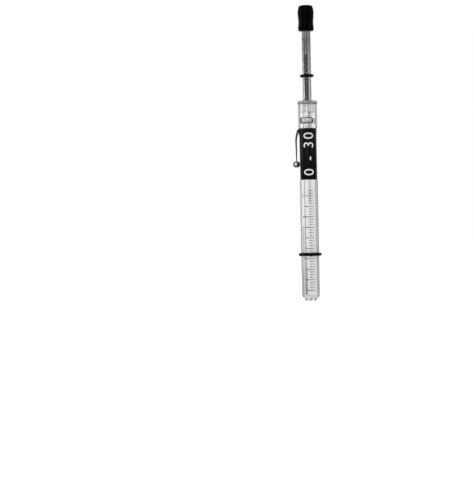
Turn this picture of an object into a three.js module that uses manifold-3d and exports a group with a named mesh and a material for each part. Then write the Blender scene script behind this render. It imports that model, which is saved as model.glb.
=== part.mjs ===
// Pencil-type belt tension checker: a clear barrel with a nose for the belt, a sprung plunger with a
// push cap, a snap-in guide bush, two O-rings that keep the readings, and a pocket clip.
// Millimetres, +Z up. The origin is the centre of the nose's flat end, and -Y is the scale side.

import Module from "manifold-3d";
import * as THREE from "three";
import { mergeVertices } from "three/addons/utils/BufferGeometryUtils.js";

// Angles
const fullTurn = 2 * Math.PI;
const degree = fullTurn / 360;

// Counts of flats
const roundSides = 48;
const slimSides = 36;
const ringSectionSides = 10;
const filletSteps = 4;
const ballSides = 24;
const ballRows = 12;

// Gaps that several pieces share
const slipGap = 0.05;
const restGap = 0.3;
const weldGap = 0.0005;
const overrun = 1;

// Nose plug
const noseRadius = 3.8;
const noseHeight = 1;
const noseEdge = 0.4;
const shoulderReach = 1.3;
const shoulderRise = 1.4;
const shoulderRoundReach = 0.25;
const shoulderRoundRise = 0.45;
const spigotLength = 5.6;
const spigotChamfer = 0.4;
const bossRadius = 1.9;
const bossHeight = 3.6;
const bossChamfer = 0.5;
const fluteCount = 8;
const fluteWidth = 0.8;
const fluteDepth = 0.3;

// Barrel tube
const boreRadius = 4.3;
const lowerRadius = 5.3;
const headRadius = 5.68;
const headLength = 14.6;
const headStepRise = 0.3;
const barrelLength = 117;
const footChamferRise = 0.7;
const mouthChamfer = 0.3;

// Latch windows, one at the front and one at the back
const windowWidth = 7.6;
const windowHeight = 3.9;
const windowDrop = 8.4;
const windowCorner = 0.9;

// Printed films
const filmThickness = 0.11;
const filmGap = 0.04;
const sleeveMargin = 0.4;
const labelLength = 30.95;
const labelSplit = 0.2;
const labelHalfTurn = 63 * degree;

// Guide bush
const flangeRadius = 6;
const flangeThickness = 1.8;
const flangeRound = 0.4;
const skirtLength = 5.2;
const fingerTail = 2.4;
const fingerWidth = 6.6;
const fingerThickness = 0.9;
const toothClearance = 0.3;
const toothShyness = 0.25;
const toothChamfer = 0.9;

// Plunger
const rodRadius = 2.65;
const rodGuideGap = 0.15;
const rodChamfer = 0.4;
const stemRadius = 1.75;
const stemSpare = 3.4;
const stroke = 37;

// Piston collar and its snap ring
const collarRadius = 4.1;
const collarThickness = 5.6;
const collarChamfer = 0.4;
const collarGrooveDepth = 0.5;
const collarGrooveWidth = 1.6;
const snapRadius = 2.25;
const snapThickness = 0.6;
const snapGrooveDepth = 0.35;
const snapGap = 0.12;
const snapMouth = 1.5;

// Push cap
const capLength = 15.6;
const capClearance = 5.5;
const capRoof = 7.3;
const capSkirtRadius = 4.8;
const capWaistRadius = 4.52;
const capHeadRadius = 4.88;
const capTopRadius = 3.6;
const capFootRadius = 4.3;
const capFit = 0.1;
const capSkirtShare = 0.13;
const capWaistShare = 0.35;
const capHeadShare = 0.66;
const capShoulderShare = 0.83;

// O-rings
const ringWall = 1.5;
const forceRingThickness = 1.75;
const forceRingOuter = 8.5;
const forceRingRise = 15.3;
const setRingThickness = 2;
const setRingOuter = 14.1;
const setRingHeight = 28.1;

// Compression spring
const wireDiameter = 1.3;
const coilDiameter = 6.6;
const activeCoils = 26;
const endCoils = 1;
const endPitch = 1.8;
const springSeatGap = 0.2;
const stepsPerCoil = 8;
const wireSides = 5;

// Seat washer
const washerThickness = 0.8;
const washerWall = 1.9;

// Pocket clip
const bandThickness = 0.35;
const bandWidth = 3.55;
const bandStart = 65 * degree;
const bandEnd = 263 * degree;
const kneeRadius = 0.5;
const kneeDrop = 1.05;
const leafThickness = 0.7;
const leafRootWidth = 3.4;
const leafTipWidth = 1.6;
const leafStand = 1.45;
const leafBendDrop = 4.2;
const bendSteps = 6;
const ballRadius = 1.85;
const clipLength = 20.5;
const ballStand = 0.35;
const tangDepth = 1.1;
const tangGap = 0.3;

// Colours, roughness and metalness of each finish
const finishes = {
  clearPlastic: { color: 0xe6e9ea, roughness: 0.15, metalness: 0, transparent: true, opacity: 0.4 },
  frostedPlastic: { color: 0xd5d8d9, roughness: 0.4, metalness: 0 },
  paleFilm: { color: 0xdcdedd, roughness: 0.45, metalness: 0 },
  blackPrint: { color: 0x161616, roughness: 0.5, metalness: 0 },
  smokedPlastic: { color: 0xb9bcbd, roughness: 0.4, metalness: 0 },
  greyAluminium: { color: 0xa2a4a6, roughness: 0.4, metalness: 0.8 },
  blackCap: { color: 0x0e0e0e, roughness: 0.55, metalness: 0 },
  blackRubber: { color: 0x101010, roughness: 0.75, metalness: 0 },
  springSteel: { color: 0x8d9094, roughness: 0.35, metalness: 1 },
  brass: { color: 0xb09050, roughness: 0.4, metalness: 1 },
  blackSteel: { color: 0x26282a, roughness: 0.4, metalness: 0.7 },
  polishedSteel: { color: 0xc2c4c6, roughness: 0.2, metalness: 1 },
};

const wasm = await Module();
wasm.setup();

// Joins the corners that fall together and drops the triangles that vanish with them
function welded(geometry) {
  const bare = geometry.clone();
  bare.deleteAttribute("normal");
  bare.deleteAttribute("uv");
  const joined = mergeVertices(bare, weldGap);
  const corners = joined.index.array;
  const kept = [];
  for (let i = 0; i < corners.length; i += 3) {
    const [a, b, c] = corners.slice(i, i + 3);
    if (a !== b && b !== c && c !== a) {
      kept.push(a, b, c);
    }
  }
  joined.setIndex(kept);
  return joined;
}

function signedVolume(geometry) {
  const places = geometry.attributes.position;
  const corners = geometry.index.array;
  const [a, b, c] = [new THREE.Vector3(), new THREE.Vector3(), new THREE.Vector3()];
  let total = 0;
  for (let i = 0; i < corners.length; i += 3) {
    a.fromBufferAttribute(places, corners[i]);
    b.fromBufferAttribute(places, corners[i + 1]);
    c.fromBufferAttribute(places, corners[i + 2]);
    total += a.dot(b.cross(c)) / 6;
  }
  return total;
}

// Turns every face outwards
function outward(geometry) {
  if (signedVolume(geometry) < 0) {
    const corners = Array.from(geometry.index.array);
    for (let i = 0; i < corners.length; i += 3) {
      [corners[i], corners[i + 1]] = [corners[i + 1], corners[i]];
    }
    geometry.setIndex(corners);
  }
  return geometry;
}

function toSolid(geometry) {
  const closed = outward(welded(geometry));
  return new wasm.Manifold(
    new wasm.Mesh({
      numProp: 3,
      vertProperties: new Float32Array(closed.attributes.position.array),
      triVerts: new Uint32Array(closed.index.array),
    }),
  );
}

function toGeometry(solid) {
  const mesh = solid.getMesh();
  const geometry = new THREE.BufferGeometry();
  geometry.setAttribute("position", new THREE.BufferAttribute(mesh.vertProperties, 3));
  geometry.setIndex(Array.from(mesh.triVerts));
  return geometry;
}

// Turns a profile of [radius, height] pairs about +Z. Its first flat edge starts at the front, on -Y
function revolve(profile, sides) {
  const points = profile.map(([radius, height]) => new THREE.Vector2(radius, height));
  const lathe = new THREE.LatheGeometry(points, sides);
  lathe.rotateX(fullTurn / 4);
  return outward(welded(lathe));
}

// The same for a ring, whose profile closes on itself
function revolveRing(profile, sides) {
  return revolve([...profile, profile[0]], sides);
}

// Points of a quarter round from one corner of a profile to the next, bulging away from the hollow corner
function quarterRound(from, to, hollow, steps) {
  const points = [];
  for (let i = 0; i <= steps; i += 1) {
    const turn = (i / steps) * (fullTurn / 4);
    points.push([
      hollow[0] + (from[0] - hollow[0]) * Math.cos(turn) + (to[0] - hollow[0]) * Math.sin(turn),
      hollow[1] + (from[1] - hollow[1]) * Math.cos(turn) + (to[1] - hollow[1]) * Math.sin(turn),
    ]);
  }
  return points;
}

function block(width, depth, low, high, x, y) {
  const box = new THREE.BoxGeometry(width, depth, high - low);
  box.translate(x, y, (low + high) / 2);
  return box;
}

// A flat shape in X and Z, given in thickness about a place on Y
function slab(shape, thickness, y, curveSegments) {
  const plate = new THREE.ExtrudeGeometry(shape, {
    depth: thickness,
    bevelEnabled: false,
    curveSegments,
  });
  plate.rotateX(fullTurn / 4);
  plate.translate(0, y + thickness / 2, 0);
  return plate;
}

// A curved wall round +Z between two turns, counted from the front towards +X
function curvedWall(inner, outer, start, end, low, high, steps) {
  const place = (radius, turn) => new THREE.Vector2(radius * Math.sin(turn), -radius * Math.cos(turn));
  const outline = [];
  for (let i = 0; i <= steps; i += 1) {
    outline.push(place(outer, start + ((end - start) * i) / steps));
  }
  for (let i = steps; i >= 0; i -= 1) {
    outline.push(place(inner, start + ((end - start) * i) / steps));
  }
  const wall = new THREE.ExtrudeGeometry(new THREE.Shape(outline), {
    depth: high - low,
    bevelEnabled: false,
  });
  wall.translate(0, 0, low);
  return outward(welded(wall));
}

function flatsIn(turn) {
  return Math.max(2, Math.round((turn / fullTurn) * roundSides));
}

// Heights that follow from the sizes above
const barrelFoot = noseHeight + shoulderRise;
const barrelTop = barrelFoot + barrelLength;
const headStep = barrelTop - headLength;
const windowHigh = barrelTop - windowDrop;
const windowLow = windowHigh - windowHeight;
const spigotTop = barrelFoot + spigotLength;
const spigotRadius = boreRadius - slipGap;
const washerTop = spigotTop + washerThickness;
const stemEnd = spigotTop + bossHeight + stroke + stemSpare;
const bushTop = barrelTop + flangeThickness;
const skirtFoot = barrelTop - skirtLength;
const fingerFoot = windowLow - fingerTail;
const collarTop = fingerFoot - restGap;
const collarFoot = collarTop - collarThickness;
const capLow = bushTop + stroke + capClearance;
const capHigh = capLow + capLength;
const rodTop = capHigh - capRoof - restGap;
const forceRingHeight = bushTop + forceRingRise;
const filmInner = lowerRadius + filmGap;
const filmOuter = filmInner + filmThickness;
const labelHigh = headStep - headStepRise - slipGap;
const labelLow = labelHigh - labelLength;
const sleeveHigh = labelLow - labelSplit;
const sleeveLow = barrelFoot + footChamferRise + sleeveMargin;
const bandInner = lowerRadius + slipGap;
const bandOuter = bandInner + bandThickness;
const bandHigh = labelHigh;
const bandLow = bandHigh - bandWidth;
const kneeHeight = bandHigh - kneeDrop;
const ballHeight = kneeHeight - clipLength;
const kneeReach = bandOuter + restGap + kneeRadius;
const leafReach = lowerRadius + leafStand;
const ballReach = lowerRadius + ballStand + ballRadius;

// The plug widens over a cone to the barrel's foot, and its flutes run over the nose and the cone
function nosePlugShape() {
  const shoulderRadius = noseRadius + shoulderReach;
  const coneRadius = shoulderRadius - shoulderRoundReach;
  const coneTop = barrelFoot - shoulderRoundRise;
  const profile = [
    [0, 0],
    [noseRadius - noseEdge, 0],
    [noseRadius, noseEdge],
    [noseRadius, noseHeight],
    [coneRadius, coneTop],
    [shoulderRadius, barrelFoot],
    [spigotRadius, barrelFoot],
    [spigotRadius, spigotTop - spigotChamfer],
    [spigotRadius - spigotChamfer, spigotTop],
    [bossRadius, spigotTop],
    [bossRadius, spigotTop + bossHeight - bossChamfer],
    [bossRadius - bossChamfer, spigotTop + bossHeight],
    [0, spigotTop + bossHeight],
  ];
  const fluteOutline = new THREE.Shape([
    new THREE.Vector2(noseRadius - fluteDepth, -overrun),
    new THREE.Vector2(shoulderRadius + overrun, -overrun),
    new THREE.Vector2(shoulderRadius + overrun, coneTop),
    new THREE.Vector2(coneRadius - fluteDepth, coneTop),
    new THREE.Vector2(noseRadius - fluteDepth, noseHeight),
  ]);
  let plug = toSolid(revolve(profile, roundSides));
  for (let i = 0; i < fluteCount; i += 1) {
    const flute = slab(fluteOutline, fluteWidth, 0, 1);
    flute.rotateZ((i / fluteCount) * fullTurn);
    plug = plug.subtract(toSolid(flute));
  }
  return toGeometry(plug);
}

// Rounded rectangle of the latch window, drawn in X and Z
function windowShape() {
  const half = windowWidth / 2;
  const shape = new THREE.Shape();
  shape.moveTo(-half + windowCorner, windowLow);
  shape.lineTo(half - windowCorner, windowLow);
  shape.quadraticCurveTo(half, windowLow, half, windowLow + windowCorner);
  shape.lineTo(half, windowHigh - windowCorner);
  shape.quadraticCurveTo(half, windowHigh, half - windowCorner, windowHigh);
  shape.lineTo(-half + windowCorner, windowHigh);
  shape.quadraticCurveTo(-half, windowHigh, -half, windowHigh - windowCorner);
  shape.lineTo(-half, windowLow + windowCorner);
  shape.quadraticCurveTo(-half, windowLow, -half + windowCorner, windowLow);
  return shape;
}

function barrelTubeShape() {
  const footRadius = noseRadius + shoulderReach;
  const profile = [
    [boreRadius, barrelFoot],
    [footRadius, barrelFoot],
    [lowerRadius, barrelFoot + footChamferRise],
    [lowerRadius, headStep - headStepRise],
    [headRadius, headStep],
    [headRadius, barrelTop - mouthChamfer],
    [headRadius - mouthChamfer, barrelTop],
    [boreRadius, barrelTop],
  ];
  const tube = toSolid(revolveRing(profile, roundSides));
  const through = 2 * (headRadius + overrun);
  return toGeometry(tube.subtract(toSolid(slab(windowShape(), through, 0, filletSteps))));
}

function scaleSleeveShape() {
  return revolveRing(
    [
      [filmInner, sleeveLow],
      [filmOuter, sleeveLow],
      [filmOuter, sleeveHigh],
      [filmInner, sleeveHigh],
    ],
    roundSides,
  );
}

function blackLabelShape() {
  return curvedWall(
    filmInner,
    filmOuter,
    -labelHalfTurn,
    labelHalfTurn,
    labelLow,
    labelHigh,
    flatsIn(2 * labelHalfTurn),
  );
}

// The flanged bush: a collar in the barrel's mouth, and two leaves with a tooth each for the windows
function guideBushShape() {
  const guideRadius = rodRadius + rodGuideGap;
  const skirtRadius = boreRadius - slipGap;
  const collarProfile = [
    [guideRadius, skirtFoot],
    [skirtRadius, skirtFoot],
    [skirtRadius, barrelTop],
    [flangeRadius, barrelTop],
    [flangeRadius, bushTop - flangeRound],
    ...quarterRound(
      [flangeRadius, bushTop - flangeRound],
      [flangeRadius - flangeRound, bushTop],
      [flangeRadius - flangeRound, bushTop - flangeRound],
      filletSteps,
    ).slice(1),
    [guideRadius, bushTop],
  ];
  const leafProfile = [
    [skirtRadius - fingerThickness, fingerFoot],
    [skirtRadius, fingerFoot],
    [skirtRadius, skirtFoot + overrun],
    [skirtRadius - fingerThickness, skirtFoot + overrun],
  ];
  const toothLow = windowLow + toothClearance;
  const toothHigh = windowHigh - toothClearance;
  const toothRadius = headRadius - toothShyness;
  const toothProfile = [
    [skirtRadius - fingerThickness, toothLow],
    [toothRadius - toothChamfer, toothLow],
    [toothRadius, toothLow + toothChamfer],
    [toothRadius, toothHigh],
    [skirtRadius - fingerThickness, toothHigh],
  ];
  const reach = 2 * (flangeRadius + overrun);
  const leafStrip = toSolid(block(fingerWidth, reach, fingerFoot - overrun, skirtFoot + 2 * overrun, 0, 0));
  const toothStrip = toSolid(block(fingerWidth, reach, fingerFoot, skirtFoot, 0, 0));
  const leaves = toSolid(revolveRing(leafProfile, roundSides)).intersect(leafStrip);
  const teeth = toSolid(revolveRing(toothProfile, roundSides)).intersect(toothStrip);
  return toGeometry(toSolid(revolveRing(collarProfile, roundSides)).add(leaves).add(teeth));
}

function plungerRodShape() {
  const grooveTop = collarFoot;
  const grooveFoot = grooveTop - snapThickness - snapGap;
  return revolve(
    [
      [0, stemEnd],
      [stemRadius - rodChamfer, stemEnd],
      [stemRadius, stemEnd + rodChamfer],
      [stemRadius, grooveFoot],
      [stemRadius - snapGrooveDepth, grooveFoot],
      [stemRadius - snapGrooveDepth, grooveTop],
      [stemRadius, grooveTop],
      [stemRadius, collarTop],
      [rodRadius - rodChamfer, collarTop],
      [rodRadius, collarTop + rodChamfer],
      [rodRadius, rodTop - rodChamfer],
      [rodRadius - rodChamfer, rodTop],
      [0, rodTop],
    ],
    slimSides,
  );
}

function pistonCollarShape() {
  const bore = stemRadius + slipGap;
  const middle = (collarFoot + collarTop) / 2;
  return revolveRing(
    [
      [bore, collarFoot],
      [collarRadius - collarChamfer, collarFoot],
      [collarRadius, collarFoot + collarChamfer],
      [collarRadius, middle - collarGrooveWidth / 2],
      [collarRadius - collarGrooveDepth, middle - collarGrooveWidth / 2],
      [collarRadius - collarGrooveDepth, middle + collarGrooveWidth / 2],
      [collarRadius, middle + collarGrooveWidth / 2],
      [collarRadius, collarTop - collarChamfer],
      [collarRadius - collarChamfer, collarTop],
      [bore, collarTop],
    ],
    slimSides,
  );
}

// The snap ring is open at the back, so that it can be pushed into its groove
function retainingClipShape() {
  const inner = stemRadius - snapGrooveDepth + slipGap;
  const top = collarFoot - snapGap / 2;
  const ring = toSolid(
    revolveRing(
      [
        [inner, top - snapThickness],
        [snapRadius, top - snapThickness],
        [snapRadius, top],
        [inner, top],
      ],
      slimSides,
    ),
  );
  const low = top - snapThickness - overrun;
  const mouth = block(snapMouth, snapRadius + overrun, low, top + overrun, 0, (snapRadius + overrun) / 2);
  return toGeometry(ring.subtract(toSolid(mouth)));
}

// The cap is pushed on the rod, and bulges a little at its skirt and its head
function pushCapShape() {
  const socket = rodRadius + capFit;
  const at = (share) => capLow + share * capLength;
  return revolve(
    [
      [0, rodTop + restGap],
      [socket, rodTop + restGap],
      [socket, capLow],
      [capFootRadius, capLow],
      ...quarterRound(
        [capFootRadius, capLow],
        [capSkirtRadius, at(capSkirtShare)],
        [capFootRadius, at(capSkirtShare)],
        filletSteps,
      ).slice(1),
      [(capSkirtRadius + capWaistRadius) / 2, at((capSkirtShare + capWaistShare) / 2)],
      [capWaistRadius, at(capWaistShare)],
      [(capWaistRadius + capHeadRadius) / 2, at((capWaistShare + capHeadShare) / 2)],
      [capHeadRadius, at(capHeadShare)],
      ...quarterRound(
        [capHeadRadius, at(capShoulderShare)],
        [capTopRadius, capHigh],
        [capTopRadius, at(capShoulderShare)],
        filletSteps,
      ),
      [0, capHigh],
    ],
    slimSides,
  );
}

// The rings are stretched over what they sit on, so their section is taller than it is wide
function ringShape(outerDiameter, thickness, height, sides) {
  const tube = ringWall / 2;
  const torus = new THREE.TorusGeometry(outerDiameter / 2 - tube, tube, ringSectionSides, sides);
  torus.scale(1, 1, thickness / ringWall);
  torus.translate(0, 0, height);
  return outward(welded(torus));
}

function seatWasherShape() {
  const outer = boreRadius - slipGap;
  return revolveRing(
    [
      [outer - washerWall, spigotTop],
      [outer, spigotTop],
      [outer, washerTop],
      [outer - washerWall, washerTop],
    ],
    slimSides,
  );
}

// Centre line and sections of the spring: close end coils, and an even pitch between them
function springSections() {
  const wireRadius = wireDiameter / 2;
  const low = washerTop + springSeatGap + wireRadius;
  const high = collarFoot - springSeatGap - wireRadius;
  const pitch = (high - low - 2 * endCoils * endPitch) / activeCoils;
  const coils = activeCoils + 2 * endCoils;
  const heightAt = (coil) => {
    const inLowEnd = Math.min(coil, endCoils);
    const inActive = Math.min(Math.max(coil - endCoils, 0), activeCoils);
    const inHighEnd = Math.max(coil - endCoils - activeCoils, 0);
    return low + (inLowEnd + inHighEnd) * endPitch + inActive * pitch;
  };
  const sections = [];
  for (let i = 0; i <= coils * stepsPerCoil; i += 1) {
    const coil = i / stepsPerCoil;
    const turn = coil * fullTurn;
    const out = new THREE.Vector3(Math.cos(turn), Math.sin(turn), 0);
    const along = new THREE.Vector3(-Math.sin(turn), Math.cos(turn), pitch / (Math.PI * coilDiameter));
    const up = out.clone().cross(along.normalize());
    const centre = out.clone().multiplyScalar(coilDiameter / 2);
    centre.z = heightAt(coil);
    const section = [];
    for (let side = 0; side < wireSides; side += 1) {
      const angle = (side / wireSides) * fullTurn;
      const point = centre.clone();
      point.addScaledVector(out, wireRadius * Math.cos(angle));
      point.addScaledVector(up, wireRadius * Math.sin(angle));
      section.push(point);
    }
    sections.push(section);
  }
  return sections;
}

// Least distance between points of the spring that lie half a coil or more apart along it
function leastSpringGap(sections) {
  let least = Infinity;
  for (let i = 0; i < sections.length; i += 1) {
    const last = Math.min(sections.length, i + 2 * stepsPerCoil);
    for (let j = i + stepsPerCoil / 2; j < last; j += 1) {
      for (const point of sections[i]) {
        for (const other of sections[j]) {
          least = Math.min(least, point.distanceTo(other));
        }
      }
    }
  }
  return least;
}

function springShape() {
  const sections = springSections();
  console.log(`least gap of the spring to itself: ${leastSpringGap(sections).toFixed(2)} mm`);
  const places = sections.flat().flatMap((point) => point.toArray());
  const corners = [];
  for (let i = 0; i + 1 < sections.length; i += 1) {
    for (let side = 0; side < wireSides; side += 1) {
      const a = i * wireSides + side;
      const b = i * wireSides + ((side + 1) % wireSides);
      corners.push(a, b, b + wireSides, a, b + wireSides, a + wireSides);
    }
  }
  const lastRow = (sections.length - 1) * wireSides;
  for (let side = 1; side + 1 < wireSides; side += 1) {
    corners.push(0, side + 1, side, lastRow, lastRow + side, lastRow + side + 1);
  }
  const geometry = new THREE.BufferGeometry();
  geometry.setAttribute("position", new THREE.Float32BufferAttribute(places, 3));
  geometry.setIndex(corners);
  return outward(geometry);
}

function clipBandShape() {
  const start = -bandStart;
  const end = -bandEnd;
  return curvedWall(bandInner, bandOuter, end, start, bandLow, bandHigh, flatsIn(start - end));
}

// Side view of the clip's leaf in X and Z: a round knee by the band, a bend, and a straight fall to the ball
function leafOutline() {
  const outerX = -leafReach - leafThickness;
  const innerX = -leafReach;
  const tip = ballHeight + ballRadius - tangDepth;
  const bendFoot = kneeHeight - leafBendDrop;
  const shape = new THREE.Shape();
  shape.moveTo(outerX, tip);
  shape.lineTo(innerX, tip);
  shape.lineTo(innerX, bendFoot);
  const innerBend = quarterRound(
    [innerX, bendFoot],
    [-kneeReach, kneeHeight - kneeRadius],
    [-kneeReach, bendFoot],
    bendSteps,
  ).slice(1);
  innerBend.forEach(([x, z]) => shape.lineTo(x, z));
  for (let i = 1; i <= bendSteps; i += 1) {
    const turn = -fullTurn / 4 + (i / bendSteps) * (fullTurn / 2);
    shape.lineTo(-kneeReach + kneeRadius * Math.cos(turn), kneeHeight + kneeRadius * Math.sin(turn));
  }
  const outerBend = quarterRound(
    [-kneeReach, kneeHeight + kneeRadius],
    [outerX, bendFoot],
    [-kneeReach, bendFoot],
    bendSteps,
  ).slice(1);
  outerBend.forEach(([x, z]) => shape.lineTo(x, z));
  return shape;
}

// The leaf narrows from its knee to its tip, seen from the side of the clip
function clipArmShape() {
  const leaf = toSolid(slab(leafOutline(), leafRootWidth, 0, bendSteps));
  const tip = ballHeight + ballRadius - tangDepth;
  const wide = leafRootWidth / 2;
  const narrow = leafTipWidth / 2;
  const outline = new THREE.Shape([
    new THREE.Vector2(-narrow, tip - overrun),
    new THREE.Vector2(narrow, tip - overrun),
    new THREE.Vector2(narrow, ballHeight + ballRadius),
    new THREE.Vector2(wide, kneeHeight - leafBendDrop),
    new THREE.Vector2(wide, kneeHeight + overrun),
    new THREE.Vector2(-wide, kneeHeight + overrun),
    new THREE.Vector2(-wide, kneeHeight - leafBendDrop),
    new THREE.Vector2(-narrow, ballHeight + ballRadius),
  ]);
  const reach = 2 * (leafReach + leafThickness + overrun);
  const cutter = slab(outline, reach, 0, 1);
  cutter.rotateZ(fullTurn / 4);
  return toGeometry(leaf.intersect(toSolid(cutter)));
}

// The ball has a slot for the leaf's tip
function clipBallShape() {
  const ball = new THREE.SphereGeometry(ballRadius, ballSides, ballRows);
  ball.rotateX(fullTurn / 4);
  ball.translate(-ballReach, 0, ballHeight);
  const foot = ballHeight + ballRadius - tangDepth - tangGap;
  const slot = block(
    leafThickness + 2 * tangGap,
    leafTipWidth + 2 * tangGap,
    foot,
    ballHeight + ballRadius + overrun,
    -leafReach - leafThickness / 2,
    0,
  );
  return toGeometry(toSolid(ball).subtract(toSolid(slot)));
}

function piece(name, geometry, finish) {
  const mesh = new THREE.Mesh(geometry, new THREE.MeshStandardMaterial(finish));
  mesh.name = name;
  mesh.geometry.computeVertexNormals();
  return mesh;
}

function barrelGroup() {
  const group = new THREE.Group();
  group.add(
    piece("barrel_tube", barrelTubeShape(), finishes.clearPlastic),
    piece("nose_plug", nosePlugShape(), finishes.frostedPlastic),
    piece("scale_sleeve", scaleSleeveShape(), finishes.paleFilm),
    piece("black_label", blackLabelShape(), finishes.blackPrint),
    piece("guide_bush", guideBushShape(), finishes.smokedPlastic),
    piece("seat_washer", seatWasherShape(), finishes.springSteel),
    piece("compression_spring", springShape(), finishes.springSteel),
    piece("clip_band", clipBandShape(), finishes.blackSteel),
  );
  return group;
}

function plungerGroup() {
  const group = new THREE.Group();
  group.add(
    piece("plunger_rod", plungerRodShape(), finishes.greyAluminium),
    piece("piston_collar", pistonCollarShape(), finishes.brass),
    piece("retaining_clip", retainingClipShape(), finishes.springSteel),
    piece("push_cap", pushCapShape(), finishes.blackCap),
  );
  return group;
}

function readingRings() {
  const group = new THREE.Group();
  group.add(
    piece(
      "force_ring",
      ringShape(forceRingOuter, forceRingThickness, forceRingHeight, slimSides),
      finishes.blackRubber,
    ),
    piece(
      "deflection_ring",
      ringShape(setRingOuter, setRingThickness, setRingHeight, roundSides),
      finishes.blackRubber,
    ),
  );
  return group;
}

function clipGroup() {
  const group = new THREE.Group();
  group.add(
    piece("clip_arm", clipArmShape(), finishes.blackSteel),
    piece("clip_ball", clipBallShape(), finishes.polishedSteel),
  );
  return group;
}

const checker = new THREE.Group();
checker.name = "belt_tension_checker";
checker.add(barrelGroup(), plungerGroup(), readingRings(), clipGroup());

export default checker;
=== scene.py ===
"""Pencil-type belt tension checker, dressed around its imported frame.

Lengths are written in millimetres and turned to metres where a mesh is made. The nose stands on the
origin, +Z runs up the barrel, -Y is the scale side and -X the clip side. A turn is counted from the
front towards +X.
"""

from __future__ import annotations

import logging
import math
from dataclasses import dataclass, replace
from enum import Enum
from typing import Any, Callable, Optional, Sequence, Union

import bmesh
import bpy
from mathutils import Matrix, Vector

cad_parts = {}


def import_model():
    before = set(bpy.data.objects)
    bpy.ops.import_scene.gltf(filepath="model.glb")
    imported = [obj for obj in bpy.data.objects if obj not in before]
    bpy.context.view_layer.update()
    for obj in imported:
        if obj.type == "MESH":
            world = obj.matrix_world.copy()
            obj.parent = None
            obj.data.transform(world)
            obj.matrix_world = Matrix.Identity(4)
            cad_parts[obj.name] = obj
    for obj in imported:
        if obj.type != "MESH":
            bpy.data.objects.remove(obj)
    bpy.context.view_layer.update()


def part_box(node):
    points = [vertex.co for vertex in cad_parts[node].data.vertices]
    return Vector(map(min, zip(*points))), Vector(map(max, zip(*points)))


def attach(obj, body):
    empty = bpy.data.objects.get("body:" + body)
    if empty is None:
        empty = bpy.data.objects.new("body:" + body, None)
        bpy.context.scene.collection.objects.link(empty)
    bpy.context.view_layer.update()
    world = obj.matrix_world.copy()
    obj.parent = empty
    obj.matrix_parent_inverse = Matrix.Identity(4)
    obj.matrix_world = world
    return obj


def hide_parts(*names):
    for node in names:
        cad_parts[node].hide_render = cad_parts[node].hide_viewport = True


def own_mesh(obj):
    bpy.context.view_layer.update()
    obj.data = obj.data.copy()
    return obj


LOG = logging.getLogger("belt_tension_checker")
MM = 0.001
FULL_TURN = 2 * math.pi
HALF_TURN = FULL_TURN / 2
QUARTER_TURN = FULL_TURN / 4
PHOTO_HEIGHT = 500
SHARP_EDGE = math.radians(32)
TRANSPARENT_LAYERS = 32
# Places closer than this, in millimetres, are one.
WELD = 1e-4
# Thickness of printed ink, drawn thicker than the real ink so that it shows.
INK = 0.02
# Room between the tube and a film on it.
FILM_GAP = 0.04
# Nearly all of the noise lies between these values.
NOISE_LOW, NOISE_HIGH = 0.3, 0.7
# The sockets of a Mix node that take a share and two colours, and the one that gives the mixed colour.
MIX_SHARE, MIX_FIRST, MIX_SECOND, MIX_RESULT = 0, 6, 7, 2

Point2 = tuple[float, float]
Point3 = tuple[float, float, float]
Size3 = tuple[float, float, float]
Stops = tuple[Point2, ...]
Corner = Sequence[float]
Sockets = Union[dict[Any, Any], Sequence[Any]]
Feed = Union[bpy.types.Node, bpy.types.NodeSocket, float]


class Body(Enum):
    """The bodies of the frame that pieces move with."""

    BARREL = "barrel"
    PLUNGER = "plunger"
    FORCE_RING = "force_ring"
    DEFLECTION_RING = "deflection_ring"
    CLIP = "clip"


class Slot(Enum):
    """The record's material slots."""

    CLEAR = "clear_plastic"
    FROSTED = "frosted_plastic"
    FILM = "pale_film"
    PRINT = "black_print"
    SMOKED = "smoked_plastic"
    ALUMINIUM = "grey_aluminium"
    BRASS = "turned_brass"
    SPRING_STEEL = "spring_steel"
    BLACK_STEEL = "black_steel"
    POLISHED_STEEL = "polished_steel"
    CAP = "black_cap"
    RUBBER = "black_rubber"


def linear(colour: str) -> tuple[float, float, float, float]:
    """Turns an sRGB hex colour to the linear one that shaders take.

    Args:
        colour: Six hex digits after a hash.

    Returns:
        Red, green, blue and a full alpha.
    """
    parts = [int(colour[i : i + 2], 16) / 255 for i in (1, 3, 5)]
    flat = [p / 12.92 if p <= 0.04045 else ((p + 0.055) / 1.055) ** 2.4 for p in parts]
    return (flat[0], flat[1], flat[2], 1.0)


def add_node(
    tree: bpy.types.NodeTree,
    kind: str,
    sockets: Sockets = (),
    stops: Stops = (),
    **settings: Any,
) -> bpy.types.Node:
    """Adds a node with its settings, its values and its links.

    Args:
        tree: The tree that gets the node.
        kind: Blender's name for the node's type.
        sockets: What the inputs get, in order, or by name or number. Each gets a value, or is fed by
            a socket or by a node's first output.
        stops: Grey stops of a colour ramp, as place and value.
        **settings: Properties of the node itself.

    Returns:
        The new node.
    """
    node = tree.nodes.new(kind)
    for name, value in settings.items():
        setattr(node, name, value)
    for key, value in sockets.items() if isinstance(sockets, dict) else enumerate(sockets):
        feed = value.outputs[0] if isinstance(value, bpy.types.Node) else value
        if isinstance(feed, bpy.types.NodeSocket):
            tree.links.new(feed, node.inputs[key])
        else:
            node.inputs[key].default_value = feed
    if stops:
        marks = node.color_ramp.elements
        while len(marks) < len(stops):
            marks.new(1.0)
        for mark, (place, grey) in zip(marks, stops):
            mark.position = place
            mark.color = (grey, grey, grey, 1.0)
    return node


def in_millimetres(tree: bpy.types.NodeTree) -> bpy.types.Node:
    """Gives the place on the object in millimetres, so that patterns can be sized in them."""
    place = add_node(tree, "ShaderNodeTexCoord").outputs["Object"]
    return add_node(tree, "ShaderNodeVectorMath", {0: place, "Scale": 1 / MM}, operation="SCALE")


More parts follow.
